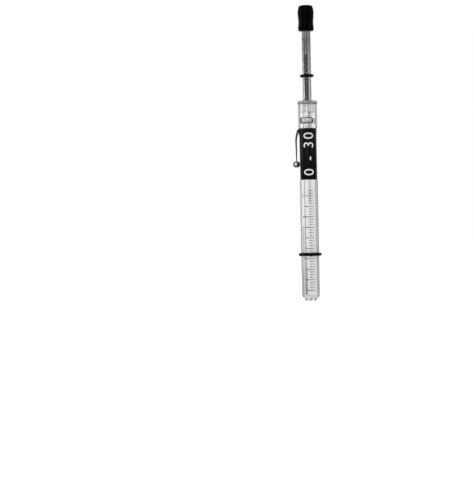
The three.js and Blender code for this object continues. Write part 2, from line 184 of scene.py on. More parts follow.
def grain(
    tree: bpy.types.NodeTree,
    size: Union[float, Size3],
    detail: float = 3.0,
    low: float = 0.0,
    high: float = 1.0,
) -> bpy.types.Node:
    """Gives an uneven pattern whose spots have a real size.

    Args:
        tree: The material's tree.
        size: Width of one spot in millimetres, or its width, depth and height.
        detail: How much finer structure there is inside a spot.
        low: The value that the darkest spots get.
        high: The value that the lightest spots get.

    Returns:
        A node whose value goes from low to high.
    """
    spot = size if isinstance(size, tuple) else (size, size, size)
    scale = [1 / side for side in spot]
    mapped = add_node(tree, "ShaderNodeMapping", {"Vector": in_millimetres(tree), "Scale": scale})
    noise = add_node(tree, "ShaderNodeTexNoise", {"Vector": mapped, "Scale": 1.0, "Detail": detail})
    return add_node(tree, "ShaderNodeMapRange", (noise, NOISE_LOW, NOISE_HIGH, low, high))


def faded(tree: bpy.types.NodeTree, along: str, ends: Point2, values: Point2) -> bpy.types.Node:
    """Gives a value that goes evenly over to another one between two places.

    Args:
        tree: The material's tree.
        along: The axis of the places.
        ends: The two places in millimetres.
        values: The value before the first place and the one after the second.

    Returns:
        A node with the value.
    """
    place = add_node(tree, "ShaderNodeSeparateXYZ", (in_millimetres(tree),)).outputs[along]
    return add_node(tree, "ShaderNodeMapRange", (place, *ends, *values))


def facing_ramp(tree: bpy.types.NodeTree, stops: Stops) -> bpy.types.Node:
    """Gives a share that grows where a surface is seen along itself.

    Args:
        tree: The material's tree.
        stops: The share at each slant, from 0 for square on to 1 for edge on.

    Returns:
        A node with the share.
    """
    slant = add_node(tree, "ShaderNodeLayerWeight", {"Blend": 0.5}).outputs["Facing"]
    return add_node(tree, "ShaderNodeValToRGB", (slant,), stops=stops)


def see_through(tree: bpy.types.NodeTree, hidden: Feed, solid: Feed) -> bpy.types.Node:
    """Lets what is behind a surface show through it.

    Args:
        tree: The material's tree.
        hidden: Share of what is behind that the surface hides.
        solid: The shader of the surface itself.

    Returns:
        A shader node.
    """
    clear = add_node(tree, "ShaderNodeBsdfTransparent")
    return add_node(tree, "ShaderNodeMixShader", (hidden, clear, solid))


@dataclass(frozen=True)
class Finish:
    """What a surface is made of and how it was made. Each kind of finish says how its nodes go."""

    title: str
    colour: str
    roughness: float

    def material(self) -> bpy.types.Material:
        """Makes the material the first time, and gives the same one after that.

        Returns:
            The material, named after the finish.
        """
        found = bpy.data.materials.get(self.title)
        if found is not None:
            return found
        made = bpy.data.materials.new(self.title)
        made.use_nodes = True
        made.diffuse_color = linear(self.colour)
        made.node_tree.nodes.clear()
        add_node(made.node_tree, "ShaderNodeOutputMaterial", {"Surface": self.shader(made.node_tree)})
        return made

    def shader(self, tree: bpy.types.NodeTree) -> bpy.types.Node:
        """Builds the finish's nodes.

        Args:
            tree: The material's empty tree.

        Returns:
            The shader node of the surface.
        """
        raise NotImplementedError

    def mottled(
        self,
        tree: bpy.types.NodeTree,
        size: Union[float, Size3],
        smoother: float,
        rougher: float,
    ) -> bpy.types.Node:
        """Gives the finish's roughness with smoother and rougher spots.

        Args:
            tree: The material's tree.
            size: Size of a spot in millimetres.
            smoother: How far under the finish's roughness the smoothest spots lie.
            rougher: How far over it the roughest spots lie.

        Returns:
            A node with the roughness.
        """
        return grain(tree, size, low=self.roughness - smoother, high=self.roughness + rougher)

    def solid(
        self,
        tree: bpy.types.NodeTree,
        shade: Optional[tuple[Feed, str]] = None,
        bump: Optional[tuple[Feed, float]] = None,
        **sockets: Any,
    ) -> bpy.types.Node:
        """Adds the main shader with the finish's own colour and roughness.

        Args:
            tree: The material's tree.
            shade: A pattern and the second colour that it brings in, as sRGB hex.
            bump: A pattern and the depth in millimetres that it gives the surface.
            **sockets: Further inputs, with _ for each space of their names.

        Returns:
            A shader node.
        """
        values: dict[Any, Any] = {"Base Color": linear(self.colour), "Roughness": self.roughness}
        if shade is not None:
            pattern, colour = shade
            colours = {MIX_SHARE: pattern, MIX_FIRST: linear(self.colour), MIX_SECOND: linear(colour)}
            mix = add_node(tree, "ShaderNodeMix", colours, data_type="RGBA")
            values["Base Color"] = mix.outputs[MIX_RESULT]
        if bump is not None:
            pattern, depth = bump
            relief = {"Height": pattern, "Distance": depth * MM, "Strength": 1.0}
            values["Normal"] = add_node(tree, "ShaderNodeBump", relief)
        values.update({name.replace("_", " "): value for name, value in sockets.items()})
        return add_node(tree, "ShaderNodeBsdfPrincipled", values)


@dataclass(frozen=True)
class ClearMoulding(Finish):
    """Clear acrylic, polished in the mould: almost nothing head on, and a grey band along its wall.

    Fine scratches from years in a pocket run along the tube.
    """

    stops: Stops
    gloss: Stops = ((0.0, 0.09), (0.5, 0.11), (0.74, 0.25), (0.9, 0.6), (1.0, 1.0))
    scratch: Size3 = (0.25, 0.25, 14.0)
    veil: float = 0.03

    def shader(self, tree: bpy.types.NodeTree) -> bpy.types.Node:
        """Builds the clear wall with its scratches, and the gloss that lies over both.

        Args:
            tree: The material's empty tree.

        Returns:
            The shader node of the surface.
        """
        scratches = grain(tree, self.scratch, detail=2.0, low=-self.veil, high=self.veil)
        shares = (facing_ramp(tree, self.stops), scratches)
        hidden = add_node(tree, "ShaderNodeMath", shares, operation="ADD", use_clamp=True)
        wall = see_through(tree, hidden, self.solid(tree, Specular_IOR_Level=0.0))
        gloss = add_node(tree, "ShaderNodeBsdfAnisotropic", {"Roughness": self.roughness})
        return add_node(tree, "ShaderNodeMixShader", (facing_ramp(tree, self.gloss), wall, gloss))


@dataclass(frozen=True)
class MilkyMoulding(Finish):
    """Natural nylon or frosted acrylic, moulded: milky where light passes, with a faint mould texture."""

    stops: Stops
    shade: str
    cloud: Size3 = (3.0, 3.0, 5.0)
    texture: float = 0.35
    texture_depth: float = 0.002

    def shader(self, tree: bpy.types.NodeTree) -> bpy.types.Node:
        """Builds the milky plastic with its clouding and its mould texture.

        Args:
            tree: The material's empty tree.

        Returns:
            The shader node of the surface.
        """
        cloud = grain(tree, self.cloud, detail=2.0)
        fine = grain(tree, self.texture)
        solid = self.solid(tree, shade=(cloud, self.shade), bump=(fine, self.texture_depth))
        return see_through(tree, facing_ramp(tree, self.stops), solid)


@dataclass(frozen=True)
class PrintedFilm(Finish):
    """Matt polyester film with a pale backing: the spring behind it is only just seen."""

    wall: str
    wall_stops: Stops
    cover: float
    wall_shine: float = 0.05
    blotch: float = 6.0
    blotch_shift: float = 0.05

    def shader(self, tree: bpy.types.NodeTree) -> bpy.types.Node:
        """Builds the film with the wall of the tube that shows at its edge.

        Args:
            tree: The material's empty tree.

        Returns:
            The shader node of the surface.
        """
        blotches = self.mottled(tree, self.blotch, self.blotch_shift, self.blotch_shift)
        face = self.solid(tree, Roughness=blotches)
        wall = self.solid(tree, Base_Color=linear(self.wall), Specular_IOR_Level=self.wall_shine)
        both = add_node(tree, "ShaderNodeMixShader", (facing_ramp(tree, self.wall_stops), face, wall))
        return see_through(tree, self.cover, both)


@dataclass(frozen=True)
class PrintInk(Finish):
    """Screen-printed ink, which can thin out from one place to another along an axis."""

    roughness: float = 0.5
    cover: float = 1.0
    fade_along: str = "X"
    fade_from: float = 0.0
    fade_to: float = 1.0
    thinned: float = 1.0
    spot: float = 0.5
    spot_cover: float = 0.88
    shine: float = 0.3

    def shader(self, tree: bpy.types.NodeTree) -> bpy.types.Node:
        """Builds the ink with its worn spots.

        Args:
            tree: The material's empty tree.

        Returns:
            The shader node of the surface.
        """
        spots = grain(tree, self.spot, low=self.spot_cover)
        cover: Feed = self.cover
        if self.thinned < 1:
            ends, covers = (self.fade_from, self.fade_to), (cover, cover * self.thinned)
            cover = faded(tree, self.fade_along, ends, covers)
        held = add_node(tree, "ShaderNodeMath", (cover, spots), operation="MULTIPLY")
        return see_through(tree, held, self.solid(tree, Specular_IOR_Level=self.shine))


@dataclass(frozen=True)
class SatinFilm(Finish):
    """Black vinyl film with a satin face, a little scuffed by cloth and fingers."""

    scuffed: str
    shine: float = 0.35
    scuff: Size3 = (0.8, 0.8, 4.0)
    blotch: float = 2.0
    blotch_shift: float = 0.03

    def shader(self, tree: bpy.types.NodeTree) -> bpy.types.Node:
        """Builds the film with its scuffs.

        Args:
            tree: The material's empty tree.

        Returns:
            The shader node of the surface.
        """
        scuffs = grain(tree, self.scuff, detail=5.0)
        blotches = self.mottled(tree, self.blotch, self.blotch_shift, self.blotch_shift)
        looks = {"Roughness": blotches, "Specular_IOR_Level": self.shine}
        return self.solid(tree, shade=(scuffs, self.scuffed), **looks)


@dataclass(frozen=True)
class Metal(Finish):
    """Bare or plated metal whose lines run the way that it was drawn or turned."""

    line: Size3
    line_depth: float
    line_shade: str
    metallic: float = 1.0
    spread: float = 0.08
    line_share: float = 1.0
    handled_from: float = 0.0
    handled_to: float = 0.0

    def shader(self, tree: bpy.types.NodeTree) -> bpy.types.Node:
        """Builds the metal with its lines in colour, roughness and relief.

        Between two heights it goes over to the shade of its lines.

        Args:
            tree: The material's empty tree.

        Returns:
            The shader node of the surface.
        """
        lines = grain(tree, self.line, detail=4.0)
        uneven = self.mottled(tree, self.line, self.spread, self.spread)
        darkening: Feed = 0.0
        if self.handled_to > self.handled_from:
            darkening = faded(tree, "Z", (self.handled_from, self.handled_to), (0.0, 1.0))
        shares = (lines, self.line_share, darkening)
        shade = add_node(tree, "ShaderNodeMath", shares, operation="MULTIPLY_ADD", use_clamp=True)
        relief = (lines, self.line_depth)
        looks = {"Roughness": uneven, "Metallic": self.metallic}
        return self.solid(tree, shade=(shade, self.line_shade), bump=relief, **looks)


@dataclass(frozen=True)
class MirrorMetal(Finish):
    """Polished metal that mirrors the bright room in its middle, with a painted dark reflection round its
    rim.
    """

    rim: str
    stops: Stops
    smear: float = 0.9
    smear_shift: float = 0.03

    def shader(self, tree: bpy.types.NodeTree) -> bpy.types.Node:
        """Builds the metal with its painted dark reflection round the rim and the smears that fingers
        leave.

        Args:
            tree: The material's empty tree.

        Returns:
            The shader node of the surface.
        """
        smears = self.mottled(tree, self.smear, self.smear_shift, self.smear_shift)
        rim = (facing_ramp(tree, self.stops), self.rim)
        return self.solid(tree, shade=rim, Roughness=smears, Metallic=1.0)


@dataclass(frozen=True)
class SoftBlack(Finish):
    """Black rubber or soft vinyl: dull, with a fine skin and the dust that it picks up."""

    dusted: str
    skin: float
    skin_depth: float
    shine: float = 0.2
    dust: float = 1.6
    blotch: float = 3.0
    smoother: float = 0.05
    rougher: float = 0.07

    def shader(self, tree: bpy.types.NodeTree) -> bpy.types.Node:
        """Builds the soft black skin.

        Args:
            tree: The material's empty tree.

        Returns:
            The shader node of the surface.
        """
        dust = grain(tree, self.dust, detail=6.0)
        relief = (grain(tree, self.skin, detail=2.0), self.skin_depth)
        blotches = self.mottled(tree, self.blotch, self.smoother, self.rougher)
        looks = {"Roughness": blotches, "Specular_IOR_Level": self.shine}
        return self.solid(tree, shade=(dust, self.dusted), bump=relief, **looks)


@dataclass(frozen=True)
class StudioFloor(Finish):
    """Pale seamless paper, matt: it keeps the object's shadow and goes white where nothing shades it."""

    lift: float
    fibre: float = 0.7
    fibre_shift: float = 0.05
    shine: float = 0.1

    def shader(self, tree: bpy.types.NodeTree) -> bpy.types.Node:
        """Builds the paper, with a little light of its own for the camera alone.

        Args:
            tree: The material's empty tree.

        Returns:
            The shader node of the surface.
        """
        fibres = self.mottled(tree, self.fibre, self.fibre_shift, 0.0)
        paper = self.solid(tree, Roughness=fibres, Specular_IOR_Level=self.shine)
        camera_ray = add_node(tree, "ShaderNodeLightPath").outputs["Is Camera Ray"]
        light = add_node(tree, "ShaderNodeMath", (camera_ray, self.lift), operation="MULTIPLY")
        glow = add_node(tree, "ShaderNodeEmission", {"Strength": light})
        return add_node(tree, "ShaderNodeAddShader", (paper, glow))


# Clear acrylic polished in the mould: nearly invisible head on, with a grey band down each side.
TUBE_WALL = ClearMoulding(
    title="acrylic_clear_moulded",
    colour="#8C9092",
    roughness=0.08,
    stops=((0.0, 0.02), (0.32, 0.03), (0.43, 0.45), (0.53, 0.66), (0.8, 0.74), (1.0, 0.82)),
)
# The same acrylic drawn over the core pin: duller, so the inside adds no streaks of its own.
TUBE_BORE = ClearMoulding(
    title="acrylic_clear_bore",
    colour="#8F9395",
    roughness=0.12,
    stops=((0.0, 0.02), (0.7, 0.03), (1.0, 0.4)),
    gloss=((0.0, 0.01), (1.0, 0.05)),
)
# Acrylic where a cut edge bends the light away: a thin dark outline round each window.
TUBE_RIM = ClearMoulding(
    title="acrylic_clear_moulded_rim",
    colour="#1E1F20",
    roughness=0.15,
    stops=((0.0, 0.94), (1.0, 0.96)),
    gloss=((0.0, 0.0), (1.0, 0.0)),
)
# The same outline seen through the tube, which washes it out: a fainter grey.
TUBE_RIM_FAR = replace(
    TUBE_RIM,
    title="acrylic_clear_moulded_rim_far",
    colour="#5A5C5E",
    stops=((0.0, 0.3), (1.0, 0.5)),
)
# Acrylic frosted by a blasted mould: a milky cone that glows, without sharp highlights.
NOSE = MilkyMoulding(
    title="acrylic_frosted_moulded",
    colour="#F8F9F9",
    roughness=0.35,
    shade="#ECEEEE",
    stops=((0.0, 0.4), (0.6, 0.45), (1.0, 0.9)),
)
# The bottom of each flute, where less light comes back out: short dark streaks round the nose.
NOSE_FLUTE = replace(
    NOSE,
    title="acrylic_frosted_flute",
    colour="#6E7072",
    shade="#4E5052",
    stops=((0.0, 0.8), (1.0, 0.95)),
)
# Natural nylon, moulded thick enough to blur the rod behind it into a pale grey.
BUSH_SKIRT = MilkyMoulding(
    title="nylon_natural_moulded",
    colour="#F6F7F7",
    roughness=0.38,
    shade="#E6E8E8",
    stops=((0.0, 0.56), (0.5, 0.6), (1.0, 0.8)),
)
# Natural nylon, moulded thin: only a faint milky veil over the rod.
BUSH_LEAF = replace(
    BUSH_SKIRT,
    title="nylon_natural_thin",
    colour="#F0F1F1",
    shade="#E0E2E2",
    stops=((0.0, 0.1), (0.5, 0.14), (1.0, 0.4)),
)
# Natural nylon at its thickest, painted mid grey as the shade of the thick plastic: an even mid grey band.
BUSH_FLANGE = MilkyMoulding(
    title="nylon_natural_thick",
    colour="#A3A6A7",
    roughness=0.34,
    shade="#96999A",
    stops=((0.0, 0.7), (0.5, 0.75), (1.0, 0.9)),
)
# The flange's lower corner, with a painted shadow: a darker line where it sits on the tube.
BUSH_SHADOW_EDGE = replace(
    BUSH_FLANGE,
    title="nylon_natural_painted_shadow_edge",
    colour="#5F6163",
    shade="#505254",
    stops=((0.0, 0.8), (1.0, 0.9)),
)
# Polyester film with a matt lacquer, backed with white: soft and bright, with grey walls at its sides.
SCALE_FILM = PrintedFilm(
    title="polyester_film_printed_matt",
    colour="#F9FAFA",
    roughness=0.42,
    wall="#A6A9AB",
    wall_stops=((0.0, 0.0), (0.38, 0.0), (0.53, 0.8), (1.0, 1.0)),
    cover=0.9,
)
# Black ink, screen printed: the ticks start dark and grow fainter to the right.
SCALE_INK = PrintInk(
    title="ink_black_screen_printed",
    colour="#48494A",
    fade_from=0.9,
    fade_to=1.7,
    thinned=0.3,
)
# Grey ink, screen printed: a light line that stays behind the ticks.
LINE_INK = PrintInk(title="ink_grey_screen_printed", colour="#6E7072")
# Faint grey ink at a fifth of full cover: a soft grey line with no edge to it.
FAINT_INK = PrintInk(title="ink_grey_faint", colour="#8C8E90", cover=0.2)
# Black ink, pad printed on metal: dense and dull beside the shine of the rod.
ROD_INK = PrintInk(title="ink_black_pad_printed", colour="#1B1C1D")
# Painted shade and painted dark reflection, laid on like grey ink: the ground still shows through it.
SHADE_AND_REFLECTION_INK = PrintInk(title="painted_shade_and_reflection", colour="#5A5C5E", cover=0.4)
# Painted shade on the film's lower end, laid on like grey ink, which is gone about an inch up.
PAINTED_SHADE_INK = PrintInk(
    title="painted_shade_film_foot",
    colour="#5A5C5E",
    cover=0.45,
    fade_along="Z",
    fade_from=13.0,
    fade_to=26.0,
    thinned=0.0,
)
# The same painted shade beside the scale's line, where it goes on for two and a half inches.
LINE_PAINTED_SHADE_INK = replace(
    PAINTED_SHADE_INK,
    title="painted_shade_beside_line",
    cover=0.36,
    fade_from=20.0,
    fade_to=64.0,
)
# White ink, screen printed: a flat, clean white on the black film.
WHITE_INK = PrintInk(title="ink_white_screen_printed", colour="#F2F2F2")
# Black vinyl film, calendered to a satin face: deep black with one narrow soft streak.
LABEL_FILM = SatinFilm(
    title="vinyl_film_black_satin",
    colour="#030303",
    roughness=0.24,
    scuffed="#060607",
    shine=0.07,
)
# Drawn aluminium, satin: streaks along the rod, and darker towards the cap.
ROD_METAL = Metal(
    title="aluminium_drawn_satin",
    colour="#9DA0A2",
    roughness=0.33,
    line=(0.12, 0.12, 9.0),
    line_depth=0.004,
    line_shade="#6A6C6E",
    line_share=0.3,
    handled_from=128.0,
    handled_to=160.0,
)
# Drawn aluminium below the scale's zero, paler than the rod above: broad soft streaks.
BARE_METAL = Metal(
    title="aluminium_drawn_pale_lower",
    colour="#F1F2F2",
    roughness=0.3,
    line=(0.3, 0.3, 12.0),
    line_depth=0.003,
    line_shade="#BFC1C2",
)
# Brass turned on a lathe: fine rings that catch the light in bands.
COLLAR_METAL = Metal(
    title="brass_turned",
    colour="#B59A60",
    roughness=0.34,
    line=(4.0, 4.0, 0.12),
    line_depth=0.006,
    line_shade="#9C8350",
)
# Zinc-plated steel, pressed: a plain cool grey with a mottled sheen.
WASHER_METAL = Metal(
    title="steel_zinc_plated_pressed",
    colour="#A5A8AB",
    roughness=0.34,
    line=(0.6, 0.6, 0.6),
    line_depth=0.004,
    line_shade="#94979A",
)
# Spring steel, drawn and coiled: dark wire with a thin highlight on each coil.
WIRE_METAL = Metal(
    title="spring_steel_drawn_wire",
    colour="#8B8E91",
    roughness=0.3,
    line=(1.2, 1.2, 0.1),
    line_depth=0.004,
    line_shade="#74777A",
)
# Spring steel with black oxide: nearly black, with a weak metal sheen along the leaf.
CLIP_METAL = Metal(
    title="spring_steel_black_oxide",
    colour="#0F1011",
    roughness=0.36,
    line=(0.15, 0.15, 3.0),
    line_depth=0.003,
    line_shade="#17181A",
    metallic=0.35,
)
# A pressed and polished steel ball: bright in its middle, painted dark round its rim as a reflection, with
# a sharp highlight.
BALL_METAL = MirrorMetal(
    title="steel_ball_polished",
    colour="#C4C6C8",
    roughness=0.12,
    rim="#1C1D1F",
    stops=((0.0, 0.0), (0.08, 0.3), (0.3, 0.8), (0.6, 1.0)),
)
# Its bearing side, painted dark as the reflection of the black label, so that by eye it joins the label.
BALL_PAINTED_REFLECTION = Metal(
    title="steel_ball_painted_reflection",
    colour="#3C3E40",
    roughness=0.2,
    line=(0.9, 0.9, 0.9),
    line_depth=0.002,
    line_shade="#46484A",
    spread=0.03,
)
# Soft vinyl, dip moulded: deepest black with two faint upright highlights.
CAP_VINYL = SoftBlack(
    title="vinyl_soft_black_dip_moulded",
    colour="#010101",
    roughness=0.24,
    dusted="#030303",
    skin=0.35,
    skin_depth=0.012,
    shine=0.02,
)
# Nitrile rubber, moulded: dull black with hardly any shine.
RING_RUBBER = SoftBlack(
    title="nitrile_rubber_black_moulded",
    colour="#050505",
    roughness=0.52,
    dusted="#0A0A0A",
    skin=0.2,
    skin_depth=0.008,
    shine=0.06,
)
# Seamless paper, matt: a pale ground that shows nothing but the object's shadow.
FLOOR_PAPER = StudioFloor(title="paper_seamless_matt", colour="#F2F2F2", roughness=0.9, lift=0.52)


def rounded(profile: Sequence[Corner], steps: int = 4) -> list[Point2]:
    """Rounds the corners of a closed outline.

    Args:
        profile: Points of two numbers, with a third where the corner is rounded that far back.
        steps: Short edges in each rounded corner.

    Returns:
        The outline with its rounded corners.
    """
    made: list[Point2] = []
    for i, corner in enumerate(profile):
        here = Vector(corner[:2])
        if len(corner) < 3 or corner[2] <= 0:
            made.append(tuple(here))
            continue
        before, after = Vector(profile[i - 1][:2]), Vector(profile[(i + 1) % len(profile)][:2])
        start = here + (before - here).normalized() * corner[2]
        end = here + (after - here).normalized() * corner[2]
        for step in range(steps + 1):
            t = step / steps
            point = start * (1 - t) ** 2 + here * 2 * t * (1 - t) + end * t**2
            made.append(tuple(point))
    return made


def box_outline(
    low: Point2,
    high: Point2,
    corners: Union[float, tuple[float, ...]],
    steps: int = 5,
) -> list[Point2]:
    """Gives a rectangle with rounded corners.

    Args:
        low: Its lower left corner.
        high: Its upper right corner.
        corners: How far the corners are rounded, or each one, from the lower left and anticlockwise.
        steps: Short edges in each corner.

    Returns:
        The outline.
    """
    places = (low, (high[0], low[1]), high, (low[0], high[1]))
    each = corners if isinstance(corners, tuple) else (corners,) * len(places)
    return rounded([(*place, corner) for place, corner in zip(places, each)], steps)


def through(points: Sequence[Point2], steps: int) -> list[Point2]:
    """Draws a smooth line through points.

    Args:
        points: The places that the line passes.
        steps: Short edges between two of them.

    Returns:
        Points along the line, the given ones among them.
    """
    padded = [points[0], *points, points[-1]]
    made: list[Point2] = []
    for i in range(1, len(padded) - 2):
        p0, p1, p2, p3 = (Vector(p) for p in padded[i - 1 : i + 3])
        for step in range(steps):
            t = step / steps
            point = (
                p1 * 2
                + (p2 - p0) * t
                + (p0 * 2 - p1 * 5 + p2 * 4 - p3) * t**2
                + (p1 * 3 - p0 - p2 * 3 + p3) * t**3
            ) / 2
            made.append(tuple(point))
    made.append(tuple(points[-1]))
    return made


def smoothed(mesh: bpy.types.Mesh) -> bpy.types.Mesh:
    """Makes a mesh's faces smooth and its steep edges sharp.

    Args:
        mesh: The mesh.

    Returns:
        The same mesh.
    """
    mesh.shade_smooth()
    mesh.set_sharp_from_angle(angle=SHARP_EDGE)
    return mesh


def in_scene(name: str, data: Any) -> bpy.types.Object:
    """Puts a mesh, a curve, a lamp or a camera in the scene, at the origin.

    Args:
        name: Name of the object.
        data: What it shows.

    Returns:
        The object.
    """
    made = bpy.data.objects.new(name, data)
    bpy.context.scene.collection.objects.link(made)
    return made


def to_object(name: str, bm: bmesh.types.BMesh, *finishes: Finish) -> bpy.types.Object:
    """Makes an object of a mesh whose places are in millimetres, with its faces turned outwards.

    Args:
        name: Name of the piece.
        bm: The mesh, which is freed.
        *finishes: The finish of each material place, in order.

    Returns:
        The object, at the origin.
    """
    bmesh.ops.remove_doubles(bm, verts=bm.verts, dist=WELD)
    bmesh.ops.recalc_face_normals(bm, faces=bm.faces)
    bmesh.ops.scale(bm, vec=(MM, MM, MM), verts=bm.verts)
    mesh = bpy.data.meshes.new(name)
    bm.to_mesh(mesh)
    bm.free()
    for finish in finishes:
        mesh.materials.append(finish.material())
    return in_scene(name, smoothed(mesh))


def final_mesh(piece: bpy.types.Object) -> bpy.types.Mesh:
    """Gives a plain mesh of a curve, or of an object with its modifiers.

    Args:
        piece: The object, which stays as it is.

    Returns:
        A new mesh.
    """
    bpy.context.view_layer.update()
    graph = bpy.context.evaluated_depsgraph_get()
    return bpy.data.meshes.new_from_object(piece.evaluated_get(graph), depsgraph=graph)


def combined(piece: bpy.types.Object, tool: bpy.types.Object, how: str) -> None:
    """Cuts a piece with a tool or joins the tool to it.

    Args:
        piece: The piece, which gets its final mesh.
        tool: The object that is used up.
        how: DIFFERENCE or UNION.
    """
    step = piece.modifiers.new("combined", "BOOLEAN")
    step.operation, step.solver, step.object = how, "EXACT", tool
    mesh = final_mesh(piece)
    mesh.name = piece.name
    piece.modifiers.clear()
    piece.data = smoothed(mesh)
    bpy.data.objects.remove(tool)


def lofted(rings: Sequence[Sequence[Point3]], closed: bool = False) -> bmesh.types.BMesh:
    """Skins a row of outlines that have the same number of points.

    Args:
        rings: The outlines, as places in millimetres.
        closed: Whether the last outline is joined to the first. Both get a face if it isn't.

    Returns:
        A closed mesh in millimetres. Where two outlines share a side there is no face.
    """
    bm = bmesh.new()
    columns = [[bm.verts.new(place) for place in ring] for ring in rings]
    after = columns[1:] + columns[:1] if closed else columns[1:]
    for left, right in zip(columns, after):
        for i in range(len(left)):
            k = (i + 1) % len(left)
            if max((left[n].co - right[n].co).length for n in (i, k)) > WELD:
                bm.faces.new((left[i], left[k], right[k], right[i]))
    if not closed:
        bm.faces.new(columns[0])
        bm.faces.new(columns[-1])
    return bm


def revolve(
    profile: Sequence[Point2],
    sides: int,
    start: float = 0.0,
    sweep: float = FULL_TURN,
    carve: Optional[Callable[[float, float, float], float]] = None,
) -> bmesh.types.BMesh:
    """Turns a closed profile about +Z.

    Args:
        profile: Pairs of radius and height. Where the first and last lie on the axis, it closes there.
        sides: Flats in the whole sweep.
        start: Turn at which the sweep begins.
        sweep: Angle of the sweep.
        carve: Gives a new radius for a radius, height and turn.

    Returns:
        A closed mesh in millimetres.
    """
    closed = sweep == FULL_TURN
    rings = []
    for j in range(sides if closed else sides + 1):
        turn = start + sweep * j / sides
        ring = []
        for radius, height in profile:
            reach = carve(radius, height, turn) if carve else radius
            ring.append((reach * math.sin(turn), -reach * math.cos(turn), height))
        rings.append(ring)
    return lofted(rings, closed)


def plate(outline: Sequence[Point2], thickness: float, edge: float = 0.0) -> bmesh.types.BMesh:
    """Makes a flat plate of an outline, standing in X and Z, with its back on Y = 0 and its face at +Y.

    Args:
        outline: Pairs of arc length and height.
        thickness: Depth of the plate.
        edge: How far the edges of its face are rounded.

    Returns:
        A closed mesh in millimetres.
    """
    bm = bmesh.new()
    base = bm.faces.new([bm.verts.new((u, 0.0, v)) for u, v in outline])
    moved = bmesh.ops.extrude_face_region(bm, geom=[base])["geom"]
    top = [v for v in moved if isinstance(v, bmesh.types.BMVert)]
    bmesh.ops.translate(bm, vec=(0, thickness, 0), verts=top)
    bmesh.ops.recalc_face_normals(bm, faces=bm.faces)
    if edge > 0:
        rim = [e for e in bm.edges if all(v in top for v in e.verts)]
        bmesh.ops.bevel(bm, geom=rim, offset=edge, segments=2, profile=0.5, affect="EDGES")
    return bm


def wrapped(bm: bmesh.types.BMesh, radius: float, step: float) -> bmesh.types.BMesh:
    """Bends a flat mesh round +Z: X becomes the arc, and Y the distance out from the radius.

    Args:
        bm: The flat mesh, changed in place.
        radius: The radius on which Y = 0 comes to lie.
        step: Width of the strips into which it is cut first.

    Returns:
        The same mesh.
    """
    low = min(v.co.x for v in bm.verts)
    high = max(v.co.x for v in bm.verts)
    for i in range(math.ceil(low / step), math.floor(high / step) + 1):
        parts = [*bm.verts, *bm.edges, *bm.faces]
        middle = (i * step, 0, 0)
        bmesh.ops.bisect_plane(bm, geom=parts, plane_co=middle, plane_no=(1, 0, 0), dist=WELD / 10)
    for v in bm.verts:
        turn, reach = v.co.x / radius, radius + v.co.y
        v.co.x, v.co.y = reach * math.sin(turn), -reach * math.cos(turn)
    return bm


@dataclass(frozen=True)
class Figures:
    """Generic figures of one size, printed upwards round a cylinder."""

    text: str
    size: float
    arc: float
    height: float
    spacing: float = 1.0
    fineness: int = 4

    def mesh(self) -> bmesh.types.BMesh:
        """Makes the figures as a flat mesh in X and Z, reading upwards.

        Returns:
            A closed mesh in millimetres, with Y from 0 to the ink's thickness.
        """
        curve = bpy.data.curves.new("figures", "FONT")
        curve.body, curve.size, curve.space_character = self.text, self.size, self.spacing
        curve.extrude, curve.resolution_u = INK / 2, self.fineness
        curve.align_x, curve.align_y = "CENTER", "CENTER"
        holder = in_scene("figures", curve)
        mesh = final_mesh(holder)
        bpy.data.objects.remove(holder)
        bpy.data.curves.remove(curve)
        bm = bmesh.new()
        bm.from_mesh(mesh)
        bpy.data.meshes.remove(mesh)
        bmesh.ops.remove_doubles(bm, verts=bm.verts, dist=WELD)
        for v in bm.verts:
            v.co = Vector((self.arc - v.co.y, v.co.z + INK / 2, self.height + v.co.x))
        return bm


def gathered(parts: Sequence[bmesh.types.BMesh]) -> bmesh.types.BMesh:
    """Puts several meshes in one.

    Args:
        parts: The meshes, which are freed.

    Returns:
        One mesh.
    """
    whole = bmesh.new()
    for part in parts:
        mesh = bpy.data.meshes.new("part")
        part.to_mesh(mesh)
        part.free()
        whole.from_mesh(mesh)
        bpy.data.meshes.remove(mesh)
    return whole


def paint(piece: bpy.types.Object, choose: Callable[[Vector, Vector], int]) -> None:
    """Gives each face of a piece one of its materials.

    Args:
        piece: The piece.
        choose: Gives the material's number for a face's middle in millimetres and its normal.
    """
    for polygon in piece.data.polygons:
        polygon.material_index = choose(polygon.center / MM, polygon.normal)


def dress(piece: bpy.types.Object, body: Body, slot: Slot, *nodes: str) -> None:
    """Makes a piece ride on its body, hides the nodes it stands for, and reports it.

    Args:
        piece: The finished piece.
        body: The body it moves with.
        slot: The record's slot for its finish. Not used.
        *nodes: The frame's nodes that it replaces.
    """
    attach(piece, body.value)
    if nodes:
        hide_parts(*nodes)
    LOG.info("%s: %d faces on %s", piece.name, len(piece.data.polygons), body.value)


def span(node: str) -> Point2:
    """Gives the lowest and highest height of one of the frame's nodes, in millimetres."""
    low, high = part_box(node)
    return low.z / MM, high.z / MM


